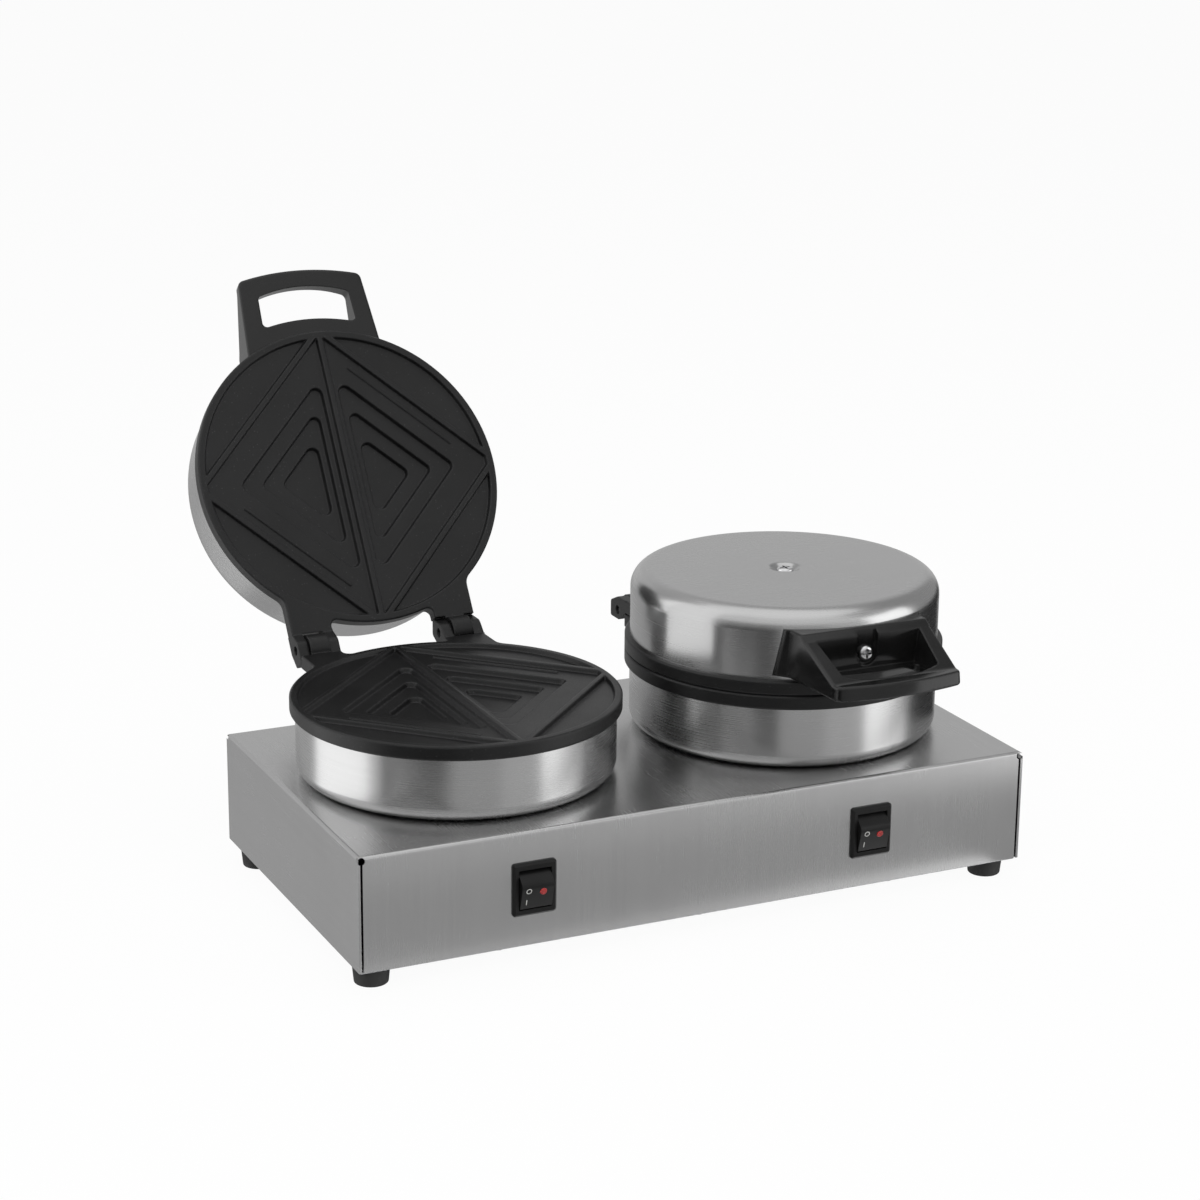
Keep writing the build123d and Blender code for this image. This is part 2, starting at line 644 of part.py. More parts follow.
# Heating parts, as they lie under the lower plate
def element():
    """A tubular heater bent to an open ring, with its two ends turned down and a terminal pin in each."""
    height = -PAD_FACE - ELEMENT_RADIUS
    first = radians(180 + (360 - ELEMENT_ARC) / 2)
    last = first + radians(ELEMENT_ARC)
    leg_tops = []
    with BuildPart() as heater:
        with BuildLine() as path:
            ring = [Vector(cos(a), sin(a), 0) * ELEMENT_RING_RADIUS for a in (first, last)]
            ends = [point + Vector(0, 0, height) for point in ring]
            onward = [Vector(sin(first), -cos(first), 0), Vector(-sin(last), cos(last), 0)]
            down = Vector(0, 0, -ELEMENT_BEND_RADIUS)
            for end, ahead in zip(ends, onward):
                centre = end + down
                knee = centre + (ahead - down.normalized()) * ELEMENT_BEND_RADIUS * sin(radians(45))
                leg_top = centre + ahead * ELEMENT_BEND_RADIUS
                leg_tops.append(leg_top)
                ThreePointArc(end, knee, leg_top)
                Line(leg_top, leg_top + Vector(0, 0, -ELEMENT_LEG))
            ThreePointArc(ends[0], Vector(ELEMENT_RING_RADIUS, 0, height), ends[1])
        tip = leg_tops[0] + Vector(0, 0, -ELEMENT_LEG)
        with BuildSketch(Plane(origin=tip, z_dir=(0, 0, 1))):
            Circle(ELEMENT_RADIUS)
        sweep(path=path.wires()[0])
        for leg_top in leg_tops:
            with BuildSketch(Plane.XY.offset(height - ELEMENT_BEND_RADIUS - ELEMENT_LEG)):
                with Locations((leg_top.X, leg_top.Y)):
                    Circle(TERMINAL_RADIUS)
            extrude(amount=-TERMINAL_LENGTH)
    return heater.part


def clamp():
    """A three-armed sheet that presses the element against the pad."""
    with BuildPart() as spider:
        with BuildSketch(Plane.XY.offset(-CLAMP_FACE)) as outline:
            Circle(CLAMP_HUB_RADIUS)
            arm_end = ELEMENT_RING_RADIUS + ELEMENT_RADIUS
            for turn in range(BOSS_COUNT):
                with Locations(Location((0, 0, 0), (0, 0, turn * 360 / BOSS_COUNT))):
                    with Locations((arm_end / 2, 0)):
                        Rectangle(arm_end, CLAMP_ARM_WIDTH)
            Circle(CLAMP_CENTRE_HOLE_RADIUS, mode=Mode.SUBTRACT)
            with PolarLocations(BOSS_REACH, BOSS_COUNT):
                Circle(M6_RADIUS + HOLE_CLEARANCE, mode=Mode.SUBTRACT)
        extrude(amount=-CLAMP_SHEET)
    return spider.part


def standoffs():
    """Spacers that carry the lower plate on the base and pull the pan up against its rim."""
    nut_seat = PAN_FLOOR + BASE_SHEET
    stud_end = nut_seat + M6_NUT_HEIGHT + THREAD_PROUD
    with BuildPart() as spacers:
        with BuildSketch(Plane.XY.offset(-CLAMP_BACK)):
            with PolarLocations(BOSS_REACH, BOSS_COUNT):
                Circle(STANDOFF_RADIUS)
        extrude(amount=CLAMP_BACK + SHELL_SHEET - PAN_FLOOR)
        with BuildSketch(Plane.XY.offset(-PAD_FACE - THREAD_CLEARANCE)):
            with PolarLocations(BOSS_REACH, BOSS_COUNT):
                Circle(M6_RADIUS)
        extrude(amount=PAD_FACE - stud_end)
    return spacers.part


def standoff_nuts():
    nut = hex_nut(M6_NUT_RADIUS, M6_NUT_HEIGHT, M6_RADIUS + THREAD_CLEARANCE)
    seat = -PAN_FLOOR - BASE_SHEET - M6_NUT_HEIGHT
    return copies(nut, boss_places(seat))


def boss_places(height):
    """The three boss axes at one height."""
    steps = [radians(step * 360 / BOSS_COUNT) for step in range(BOSS_COUNT)]
    return [Location((BOSS_REACH * cos(a), BOSS_REACH * sin(a), height)) for a in steps]


def clamp_screws():
    """The screws that hold the clamp of a lid, before it is turned over."""
    shank = CLAMP_SHEET + BOSS_HEIGHT - THREAD_SHORT
    screw = pan_screw(M6_RADIUS, shank, M6_HEAD_RADIUS, M6_HEAD_HEIGHT)
    heads_down = Location((0, 0, 0), (180, 0, 0))
    return copies(screw, [place * heads_down for place in boss_places(-CLAMP_BACK)])


def thermostat():
    """A disc thermostat that reaches through the clamp to the middle boss."""
    face = PAD_FACE + BOSS_HEIGHT
    back = CLAMP_BACK + THERMOSTAT_HEIGHT - (CLAMP_BACK - face)
    with BuildPart() as body:
        with BuildSketch(Plane.XY.offset(-face)):
            Circle(THERMOSTAT_RADIUS)
        extrude(amount=face - back)
        with BuildSketch(Plane.XY.offset(-CLAMP_BACK)):
            SlotOverall(THERMOSTAT_FLANGE_LENGTH, THERMOSTAT_FLANGE_WIDTH)
        extrude(amount=-THERMOSTAT_FLANGE_SHEET)
        with BuildSketch(Plane.XY.offset(-back)):
            with GridLocations(THERMOSTAT_RADIUS, 0, 2, 1):
                Rectangle(SPADE_SHEET, SPADE_WIDTH)
        extrude(amount=-SPADE_LENGTH)
    return body.part


def lid_post():
    """The spacer that the cover's screw pulls the cover down on."""
    top = COVER_TOP - DIMPLE_DEPTH - SHELL_SHEET
    with BuildPart() as post:
        with BuildSketch(Plane.XY.offset(CLAMP_BACK)):
            Circle(POST_COLLAR_RADIUS)
        extrude(amount=POST_COLLAR_HEIGHT)
        with BuildSketch(Plane.XY.offset(CLAMP_BACK)):
            Circle(POST_RADIUS)
        extrude(amount=top - CLAMP_BACK)
        with BuildSketch(Plane.XY.offset(PAD_FACE + THREAD_CLEARANCE)):
            Circle(M6_RADIUS)
        extrude(amount=CLAMP_BACK - PAD_FACE)
        with Locations((0, 0, top)):
            Hole(M6_RADIUS + THREAD_CLEARANCE, depth=cover_screw_length())
    return post.part


def cover_screw_length():
    """Shank of the screw through the cover's dimple: most of the way down the post."""
    return (COVER_TOP - DIMPLE_DEPTH - CLAMP_BACK) * COVER_SCREW_SHARE


def cover_screw():
    screw = pan_screw(M6_RADIUS, cover_screw_length(), M6_HEAD_RADIUS, M6_HEAD_HEIGHT)
    return screw.moved(Location((0, 0, COVER_TOP - DIMPLE_DEPTH)))


# Lid handle: a closed ring moulded with a tall back that wraps the cover, with its front at -Y
def handle_outline(front, front_width, back_width, corner_radius):
    """A plan outline that narrows to an arched front."""
    with BuildSketch(mode=Mode.PRIVATE) as outline:
        with BuildLine():
            corner = front - HANDLE_ARCH
            Line((-back_width / 2, -HANDLE_BACK), (-front_width / 2, -corner))
            ThreePointArc((-front_width / 2, -corner), (0, -front), (front_width / 2, -corner))
            Line((front_width / 2, -corner), (back_width / 2, -HANDLE_BACK))
            Line((back_width / 2, -HANDLE_BACK), (-back_width / 2, -HANDLE_BACK))
        make_face()
        fillet(outline.vertices().group_by(Axis.Y)[0], radius=corner_radius)
    return outline.sketch


def finger_window():
    """The room inside the ring. It widens upwards, with an upright back and a low ledge at its foot."""
    window_front = HANDLE_FRONT - GRIP_WIDTH
    with BuildPart() as room:
        with BuildSketch(Plane.XY.offset(HANDLE_UNDERSIDE)):
            add(handle_outline(window_front, WINDOW_FRONT_WIDTH, WINDOW_BACK_WIDTH, WINDOW_CORNER_RADIUS))
        extrude(amount=HANDLE_TOP, taper=-WINDOW_DRAFT)
        split(bisect_by=Plane.XZ.offset(BROW_REACH), keep=Keep.TOP)
        with BuildSketch(Plane.XY.offset(HANDLE_UNDERSIDE)):
            with Locations((0, LEDGE_CURVE_RADIUS - LEDGE_REACH)):
                Circle(LEDGE_CURVE_RADIUS)
        extrude(amount=LEDGE_HEIGHT, mode=Mode.SUBTRACT)
        fillet(room.edges().filter_by(is_ledge_corner), radius=WINDOW_CORNER_RADIUS)
    return room.part


def is_ledge_corner(edge):
    """True for the two upright edges of the window where its sides meet the ledge."""
    middle = edge.center()
    beside_ledge = -LEDGE_REACH < middle.Y < -BROW_REACH - LEAST_SIZE
    return beside_ledge and HANDLE_UNDERSIDE < middle.Z < HANDLE_UNDERSIDE + LEDGE_HEIGHT


def is_outer_edge(edge):
    """True for the handle's long edges, which are rounded, and not for its front corners or its back."""
    middle = edge.center()
    from_corner = abs(middle.Z - (HANDLE_UNDERSIDE + GRIP_TOP) / 2)
    return middle.Y < -HANDLE_BACK - HANDLE_CORNER_RADIUS and from_corner > HANDLE_EDGE_RADIUS


def handle():
    room = finger_window()
    with BuildPart() as grip:
        with BuildSketch(Plane.XY.offset(HANDLE_UNDERSIDE)):
            add(handle_outline(HANDLE_FRONT, HANDLE_FRONT_WIDTH, HANDLE_BACK_WIDTH, HANDLE_CORNER_RADIUS))
        extrude(amount=HANDLE_TOP - HANDLE_UNDERSIDE, taper=HANDLE_DRAFT)
        # Side view: a low grip in front that rises in a straight slope to the brow of the back
        with BuildSketch(Plane.YZ.offset(-HANDLE_BACK_WIDTH)):
            with BuildLine():
                FilletPolyline(
                    (0, HANDLE_UNDERSIDE),
                    (-2 * HANDLE_FRONT, HANDLE_UNDERSIDE),
                    (-2 * HANDLE_FRONT, GRIP_TOP),
                    (-GRIP_SHOULDER, GRIP_TOP),
                    (-BROW_REACH, BROW_HEIGHT),
                    (BROW_CHAMFER - BROW_REACH, HANDLE_TOP),
                    (0, HANDLE_TOP),
                    radius=(0, 0, 0, GRIP_RISE_RADIUS, BROW_RADIUS, BROW_TOP_RADIUS, 0),
                    close=True,
                )
            make_face()
        extrude(amount=2 * HANDLE_BACK_WIDTH, mode=Mode.INTERSECT)
        fillet(grip.edges().filter_by(is_outer_edge), radius=HANDLE_EDGE_RADIUS)
        # The sides flare out where they meet the cover
        with BuildSketch(Plane.XY.offset(HANDLE_UNDERSIDE)):
            with BuildLine():
                Polyline(
                    (-FLARE_WIDTH / 2, -HANDLE_BACK),
                    (-FLARE_FRONT_WIDTH / 2, -FLARE_FRONT),
                    (FLARE_FRONT_WIDTH / 2, -FLARE_FRONT),
                    (FLARE_WIDTH / 2, -HANDLE_BACK),
                    close=True,
                )
            make_face()
        extrude(amount=HANDLE_TOP - HANDLE_UNDERSIDE, taper=HANDLE_DRAFT)
        add(room, mode=Mode.SUBTRACT)
        # Channel for the screw's head, round at the bottom and open at the top
        with BuildSketch(Plane.XZ.offset(BROW_REACH)):
            with Locations((0, HANDLE_SCREW_HEIGHT)):
                Circle(SCREW_CHANNEL_WIDTH / 2)
                Rectangle(SCREW_CHANNEL_WIDTH, HANDLE_TOP, align=(Align.CENTER, Align.MIN))
        extrude(amount=-SCREW_CHANNEL_DEPTH, mode=Mode.SUBTRACT)
        with BuildSketch(Plane.XZ.offset(BROW_REACH)):
            with Locations((0, HANDLE_SCREW_HEIGHT)):
                Circle(M5_RADIUS + HOLE_CLEARANCE)
        extrude(amount=SHELL_RADIUS / 2 - BROW_REACH, mode=Mode.SUBTRACT)
        # The back is hollowed to sit on the cover's wall
        with BuildSketch():
            Circle(SHELL_RADIUS)
        extrude(amount=2 * HANDLE_TOP, mode=Mode.SUBTRACT)
    return grip.part


def handle_screw():
    seat = BROW_REACH - SCREW_CHANNEL_DEPTH
    length = seat - SHELL_RADIUS + SHELL_SHEET + BACKING_SHEET + THREAD_PROUD
    screw = pan_screw(M5_RADIUS, length, M5_HEAD_RADIUS, M5_HEAD_HEIGHT)
    return screw.moved(Location((0, -seat, HANDLE_SCREW_HEIGHT), (90, 0, 0)))


def handle_backing():
    """A curved threaded strip inside the cover that the handle's screw pulls on."""
    outer = SHELL_RADIUS - SHELL_SHEET
    half = outer * tan(radians(BACKING_ANGLE / 2))
    with BuildPart() as strip:
        with BuildSketch(Plane.XY.offset(HANDLE_SCREW_HEIGHT - BACKING_HEIGHT / 2)):
            Circle(outer)
            Circle(outer - BACKING_SHEET, mode=Mode.SUBTRACT)
            with Locations((0, -outer)):
                Rectangle(2 * half, outer, mode=Mode.INTERSECT)
        extrude(amount=BACKING_HEIGHT)
        with BuildSketch(Plane.XZ.offset(outer)):
            with Locations((0, HANDLE_SCREW_HEIGHT)):
                Circle(M5_RADIUS + THREAD_CLEARANCE)
        extrude(amount=-2 * BACKING_SHEET, mode=Mode.SUBTRACT)
    return strip.part


# Switches, placed about the middle of the bezel's front face, which looks towards -Y
def switch_housing():
    with BuildPart() as housing:
        with BuildSketch(Plane.XZ):
            RectangleRounded(BEZEL_WIDTH, BEZEL_HEIGHT, BEZEL_CORNER_RADIUS)
        extrude(amount=-BEZEL_PROUD)
        chamfer(housing.faces().sort_by(Axis.Y)[0].edges(), length=BEZEL_BEVEL)
        with BuildSketch(Plane.XZ.offset(-BEZEL_PROUD)):
            Rectangle(SWITCH_BODY_WIDTH, SWITCH_BODY_HEIGHT)
        extrude(amount=-SWITCH_BODY_DEPTH)
        with BuildSketch(Plane.XZ):
            Rectangle(ROCKER_WINDOW_WIDTH, ROCKER_WINDOW_HEIGHT)
        extrude(amount=-ROCKER_WELL_DEPTH, mode=Mode.SUBTRACT)
        socket_span = ROCKER_WINDOW_WIDTH + 2 * TRUNNION_LENGTH
        with BuildSketch(Plane.YZ.offset(-socket_span / 2)):
            with Locations((ROCKER_PIVOT_DEPTH, 0)):
                Circle(TRUNNION_RADIUS + PIN_CLEARANCE)
        extrude(amount=socket_span, mode=Mode.SUBTRACT)
    return housing.part


def switch_spades():
    """The switch's four push-on terminals."""
    with BuildPart() as spades:
        with BuildSketch(Plane.XZ.offset(-BEZEL_PROUD - SWITCH_BODY_DEPTH)):
            with GridLocations(SPADE_SPACING_X, SPADE_SPACING_Z, 2, 2):
                Rectangle(SPADE_SHEET, SPADE_WIDTH)
        extrude(amount=-SPADE_LENGTH)
    return spades.part


def rocker_tilt():
    """Turns the rocker from level to off, about its trunnions: its top end is pressed in."""
    pivot = Location((0, ROCKER_PIVOT_DEPTH, 0))
    return pivot * Location((0, 0, 0), (-ROCKER_TILT, 0, 0)) * pivot.inverse()


def lens_plane():
    """The plane of the rocker's lower face at the lens."""
    run = ROCKER_CREST_HEIGHT + ROCKER_HALF_HEIGHT
    rise = ROCKER_CREST_OUT + ROCKER_END_DROP
    out = (LENS_HEIGHT + ROCKER_HALF_HEIGHT) * rise / run - ROCKER_END_DROP
    return Plane(origin=(LENS_SIDE, -out, LENS_HEIGHT), x_dir=(1, 0, 0), z_dir=(0, -run, -rise))


def rocker():
    rocker_width = ROCKER_WINDOW_WIDTH - 2 * ROCKER_SIDE_CLEARANCE
    with BuildPart() as paddle:
        with BuildSketch(Plane.YZ.offset(-rocker_width / 2)):
            with BuildLine():
                FilletPolyline(
                    (ROCKER_BACK, -ROCKER_HALF_HEIGHT),
                    (ROCKER_END_DROP, -ROCKER_HALF_HEIGHT),
                    (-ROCKER_CREST_OUT, ROCKER_CREST_HEIGHT),
                    (ROCKER_END_DROP, ROCKER_HALF_HEIGHT),
                    (ROCKER_BACK, ROCKER_HALF_HEIGHT),
                    radius=(0, 0, ROCKER_CREST_RADIUS, 0, 0),
                    close=True,
                )
            make_face()
        extrude(amount=rocker_width)
        trunnion_span = rocker_width + 2 * TRUNNION_LENGTH
        with BuildSketch(Plane.YZ.offset(-trunnion_span / 2)):
            with Locations((ROCKER_PIVOT_DEPTH, 0)):
                Circle(TRUNNION_RADIUS)
        extrude(amount=trunnion_span)
        with BuildSketch(lens_plane()):
            Circle(LENS_RADIUS)
        extrude(amount=-LENS_DEPTH, mode=Mode.SUBTRACT)
    return paddle.part.moved(rocker_tilt())


def neon_lens():
    with BuildPart() as lens:
        with BuildSketch(lens_plane().offset(-LENS_DEPTH)):
            Circle(LENS_RADIUS)
        extrude(amount=LENS_DEPTH + LENS_PROUD)
        fillet(lens.faces().sort_by(Axis.Y)[0].edges(), radius=LENS_EDGE_RADIUS)
    return lens.part.moved(rocker_tilt())


# Lead inlet on the back wall, built about its own axis with the outside at +Z
def gland_body():
    with BuildPart() as body:
        with BuildSketch():
            RegularPolygon(GLAND_HEX_RADIUS, 6)
        extrude(amount=GLAND_FLANGE_LENGTH)
        with BuildSketch():
            Circle(GLAND_THREAD_RADIUS)
        extrude(amount=-GLAND_THREAD_LENGTH)
        with BuildSketch(Plane.XY.offset(-GLAND_THREAD_LENGTH)):
            Circle(GLAND_BORE_RADIUS)
        extrude(amount=GLAND_THREAD_LENGTH + GLAND_FLANGE_LENGTH, mode=Mode.SUBTRACT)
    return body.part


def gland_cap():
    with BuildPart() as cap:
        with BuildSketch(Plane.XY.offset(GLAND_FLANGE_LENGTH)):
            Circle(GLAND_CAP_RADIUS)
        with BuildSketch(Plane.XY.offset(GLAND_FLANGE_LENGTH + GLAND_CAP_LENGTH)):
            Circle(GLAND_CAP_NOSE_RADIUS)
        loft()
        with BuildSketch(Plane.XY.offset(GLAND_FLANGE_LENGTH)):
            Circle(GLAND_BORE_RADIUS)
        extrude(amount=GLAND_CAP_LENGTH, mode=Mode.SUBTRACT)
    return cap.part


def gland_locknut():
    nut = hex_nut(GLAND_HEX_RADIUS, LOCKNUT_THICKNESS, GLAND_THREAD_RADIUS + THREAD_CLEARANCE)
    return nut.moved(Location((0, 0, -BASE_SHEET - LOCKNUT_THICKNESS)))


def block_screw_places():
    """X and Y of the two screws that hold the terminal block."""
    reach = BLOCK_LENGTH / 2 - M4_HEAD_RADIUS
    return [(BLOCK_X + side * reach, BLOCK_Y) for side in (-1, 1)]


def terminal_block():
    """A block with one wire tunnel and two screw wells for each pole, on a foot drilled at both ends."""
    with BuildPart() as block:
        with BuildSketch():
            Rectangle(BLOCK_LENGTH, BLOCK_WIDTH)
            reach = BLOCK_LENGTH / 2 - M4_HEAD_RADIUS
            with GridLocations(2 * reach, 0, 2, 1):
                Circle(M4_RADIUS + HOLE_CLEARANCE, mode=Mode.SUBTRACT)
        extrude(amount=BLOCK_FOOT)
        with BuildSketch(Plane.XY.offset(BLOCK_FOOT)):
            Rectangle(BLOCK_LENGTH - 2 * BLOCK_END, BLOCK_WIDTH)
        extrude(amount=BLOCK_HEIGHT - BLOCK_FOOT)
        with BuildSketch(Plane.XZ.offset(BLOCK_WIDTH / 2)):
            with Locations((0, BLOCK_HEIGHT / 2)):
                with GridLocations(BLOCK_POLE_SPACING, 0, BLOCK_POLES, 1):
                    Circle(BLOCK_WIRE_RADIUS)
        extrude(amount=-BLOCK_WIDTH, mode=Mode.SUBTRACT)
    return block.part


def main():
    os.makedirs("parts", exist_ok=True)
    save(base_cover(), "base_cover")
    save(base_floor(), "base_floor")
    floor_shank = FLOOR_SHEET + BASE_SHEET + FLOOR_SCREW_GRIP
    floor_screw = pan_screw(M4_RADIUS, floor_shank, M4_HEAD_RADIUS, M4_HEAD_HEIGHT)
    places = [Location((x, y, FOOT_HEIGHT), (180, 0, 0)) for x, y in floor_screw_places()]
    save(copies(floor_screw, places), "base_floor_screws")

    rubber = foot()
    foot_corners = {
        "front_left": (-FOOT_X, -FOOT_Y),
        "front_right": (FOOT_X, -FOOT_Y),
        "rear_left": (-FOOT_X, FOOT_Y),
        "rear_right": (FOOT_X, FOOT_Y),
    }
    for corner, (x, y) in foot_corners.items():
        save(rubber.moved(Location((x, y, 0))), f"foot_{corner}")
    nut_seat = COVER_BOTTOM + BASE_SHEET
    foot_shank = nut_seat + M5_NUT_HEIGHT + THREAD_PROUD - FOOT_RECESS_DEPTH
    foot_screw = pan_screw(M5_RADIUS, foot_shank, M5_HEAD_RADIUS, M5_HEAD_HEIGHT)
    foot_nut = hex_nut(M5_NUT_RADIUS, M5_NUT_HEIGHT, M5_RADIUS + THREAD_CLEARANCE)
    corners = list(foot_corners.values())
    foot_seats = [Location((x, y, FOOT_RECESS_DEPTH), (180, 0, 0)) for x, y in corners]
    save(copies(foot_screw, foot_seats), "foot_screws")
    save(copies(foot_nut, [Location((x, y, nut_seat)) for x, y in corners]), "foot_nuts")

    casting = plate()
    pieces_below = {
        "pan": pan(),
        "lower_plate": casting,
        "lower_element": element(),
        "lower_clamp": clamp(),
        "standoffs": standoffs(),
        "standoff_nuts": standoff_nuts(),
        "thermostat": thermostat(),
        "hinge_pins": hinge_pins(),
    }
    turned_over = Location((0, 0, 0), (0, 180, 0))
    pieces_above = {
        "lid_cover": lid_cover(),
        "upper_plate": casting.moved(turned_over),
        "upper_element": element().moved(turned_over),
        "upper_clamp": clamp().moved(turned_over),
        "clamp_screws": clamp_screws().moved(turned_over),
        "lid_post": lid_post(),
        "cover_screw": cover_screw(),
        "handle": handle(),
        "handle_screw": handle_screw(),
        "handle_backing": handle_backing(),
    }
    hinge = Location((0, HINGE_REACH, 0))
    opened = hinge * Location((0, 0, 0), (-LID_OPEN_ANGLE, 0, 0)) * hinge.inverse()
    lid_poses = {"left": opened, "right": Location()}
    for side, x in zip(("left", "right"), cooker_places()):
        cooker = Location((x, 0, CONTACT_HEIGHT))
        for name, piece in pieces_below.items():
            save(piece.moved(cooker), f"{side}_{name}")
        for name, piece in pieces_above.items():
            save(piece.moved(cooker * lid_poses[side]), f"{side}_{name}")
        switch = Location((x, -BASE_DEPTH / 2 - BEZEL_PROUD, SWITCH_HEIGHT))
        save(switch_housing().moved(switch), f"{side}_switch_housing")
        save(switch_spades().moved(switch), f"{side}_switch_spades")
        save(rocker().moved(switch), f"{side}_switch_rocker")
        save(neon_lens().moved(switch), f"{side}_neon_lens")

    inlet = Location((INLET_X, BASE_DEPTH / 2, SWITCH_HEIGHT), (-90, 0, 0))
    save(gland_body().moved(inlet), "gland_body")
    save(gland_cap().moved(inlet), "gland_cap")
    save(gland_locknut().moved(inlet), "gland_locknut")
    block = Location((BLOCK_X, BLOCK_Y, COVER_BOTTOM))
    save(terminal_block().moved(block), "terminal_block")
    block_screw = pan_screw(M4_RADIUS, BLOCK_FOOT + FLOOR_SHEET, M4_HEAD_RADIUS, M4_HEAD_HEIGHT)
    seats = [Location((x, y, COVER_BOTTOM + BLOCK_FOOT)) for x, y in block_screw_places()]
    save(copies(block_screw, seats), "terminal_block_screws")


main()
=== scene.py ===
import json
from math import cos, pi, radians, sin, tan

import bpy
from mathutils import Matrix, Vector


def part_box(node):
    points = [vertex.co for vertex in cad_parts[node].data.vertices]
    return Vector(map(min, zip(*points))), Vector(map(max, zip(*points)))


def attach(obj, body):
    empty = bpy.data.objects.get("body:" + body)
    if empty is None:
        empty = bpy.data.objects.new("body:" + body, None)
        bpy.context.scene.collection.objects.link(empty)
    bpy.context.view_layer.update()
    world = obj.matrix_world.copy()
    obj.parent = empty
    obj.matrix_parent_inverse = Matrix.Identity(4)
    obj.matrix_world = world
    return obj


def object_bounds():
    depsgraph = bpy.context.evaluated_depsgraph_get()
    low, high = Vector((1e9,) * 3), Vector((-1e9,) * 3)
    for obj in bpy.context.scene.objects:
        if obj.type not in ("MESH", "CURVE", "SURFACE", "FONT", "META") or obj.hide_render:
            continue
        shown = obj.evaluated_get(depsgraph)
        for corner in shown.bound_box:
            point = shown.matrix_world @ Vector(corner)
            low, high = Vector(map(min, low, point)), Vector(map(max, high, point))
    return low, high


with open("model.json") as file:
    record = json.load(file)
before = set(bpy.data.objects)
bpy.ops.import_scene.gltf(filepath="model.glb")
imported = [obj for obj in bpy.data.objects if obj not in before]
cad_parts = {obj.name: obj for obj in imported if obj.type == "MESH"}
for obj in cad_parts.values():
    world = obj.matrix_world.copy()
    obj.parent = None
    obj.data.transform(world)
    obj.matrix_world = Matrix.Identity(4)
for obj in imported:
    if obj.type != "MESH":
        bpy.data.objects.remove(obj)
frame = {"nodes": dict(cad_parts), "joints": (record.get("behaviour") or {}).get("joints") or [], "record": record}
cad_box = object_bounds()

MM = 0.001
RIGHT = Vector((1, 0, 0))
UP = Vector((0, 0, 1))
SIDES = ("left", "right")

# Camera of the photograph
CAMERA_PLACE = Vector((-0.7569, -1.6214, 0.6971))
CAMERA_AZIMUTH = radians(-25.4111)
CAMERA_ELEVATION = radians(16.7596)
CAMERA_ROLL = radians(0.5479)
CAMERA_LENS = 88.74
SENSOR_WIDTH = 36.0

# Sky: the level that lights the object. The strength at which it and the floor are seen is white
SKY_LEVEL = 0.34
SEEN_LEVEL = 1.0

# Lamps aimed at the object, at a level where a colour renders about as written: name, place, size, power
LAMPS = (
    ("key", (-1.3, -1.5, 1.5), 1.2, 24.0),
    ("fill", (1.7, -1.3, 1.0), 1.4, 10.0),
    ("top", (0.1, 0.2, 2.1), 1.6, 17.0),
)

# Floor: its grey with a faint cloudiness, and the share of its look that is plain white
FLOOR_COLOUR = 0.86
FLOOR_CLOUD = 0.01
FLOOR_CLOUD_SCALE = 3.0
FLOOR_GLOW = 0.95
FLOOR_SIDE = 14.0
FLOOR_LEVEL = -0.0001
WHITE = (1, 1, 1, 1)

# Studio cards that only reflections see: name, azimuth from, to, elevation from, to, level
CARD_DISTANCE = 2.6
CARD_STEPS = 16
CARDS = (
    ("left_softbox", -137, -85, -80, 2, 1.55),
    ("left_softbox_top", -137, -85, 2, 60, 1.3),
    ("left_softbox_edge", -85, -76, -80, 60, 0.75),
    ("left_flag", -76, -28, -80, 5, 0.06),
    ("left_flag_top", -76, -28, 5, 27, 0.28),
    ("front_panel", -28, 6, -80, 27, 0.42),
    ("front_right_panel", 6, 36, -80, 27, 0.55),
    ("front_overhead", -76, 36, 27, 60, 0.8),
    ("right_softbox", 36, 75, -80, 34, 1.7),
    ("right_softbox_top", 36, 75, 34, 60, 0.5),
    ("right_flag", 75, 128, -80, 0, 0.03),
    ("right_flag_top", 75, 128, 0, 60, 0.34),
    ("rear_low_panel", 128, 223, -80, -2, 0.45),
    ("rear_panel", 128, 223, -2, 34, 0.59),
    ("rear_overhead", 128, 223, 34, 60, 0.45),
)

# Cards just above the floor that only reflections see, a painted shade of the floor as the base's walls reflect
# it: name, x from, to, y from, to, level
FLOOR_CARD_HEIGHT = 1 * MM
PAINTED_FLOOR_SHADE_CARDS = (
    ("front_floor_card", -0.6, 0.9, -0.33, -0.213, 0.42),
    ("left_floor_card", -0.29, -0.22, -0.4, 0.6, 0.45),
    ("right_floor_card", 0.22, 0.38, -0.3, 0.2, 0.4),
)

# A card between the cookers that lights the left of the closed lid: x, y from, to, z from, to, level
LID_CARD = ("lid_fill_card", -0.004, -0.124, -0.071, 0.14, 0.245, 1.05)

# Ranges: where most of a noise's values lie, where nearly all do, and from none to all
MIDDLE = (0.3, 0.7)
WIDE = (0.2, 0.8)
WHOLE = (0, 1)

# Edges are softened by these radii
SHEET_EDGE = 0.5 * MM
CASTING_EDGE = 1.6 * MM
HANDLE_EDGE = 1.6 * MM
SMALL_EDGE = 0.3 * MM
TINY_EDGE = 0.2 * MM
PRINT_EDGE = 0.02 * MM
EDGE_SAMPLES = 4

# Ground steel sheet: its tone, and on the base and the shells its roughness and how far the grain shows
STEEL = 0.56
BASE_FINISH = {"roughness": 0.26, "contrast": 0.012}
SHELL_FINISH = {"roughness": 0.265, "contrast": 0.01}
BASE_ANISOTROPY = 0.55
SHELL_ANISOTROPY = 0.5
QUARTER_TURN = 0.25
GRAIN_PITCH = 0.45 * MM
GRAIN_STRETCH = 60.0
RING_DRIFT = 2.5
SIDE_WALL_FACING = 0.7
FLAT_END_FACING = (0.8, 0.96)
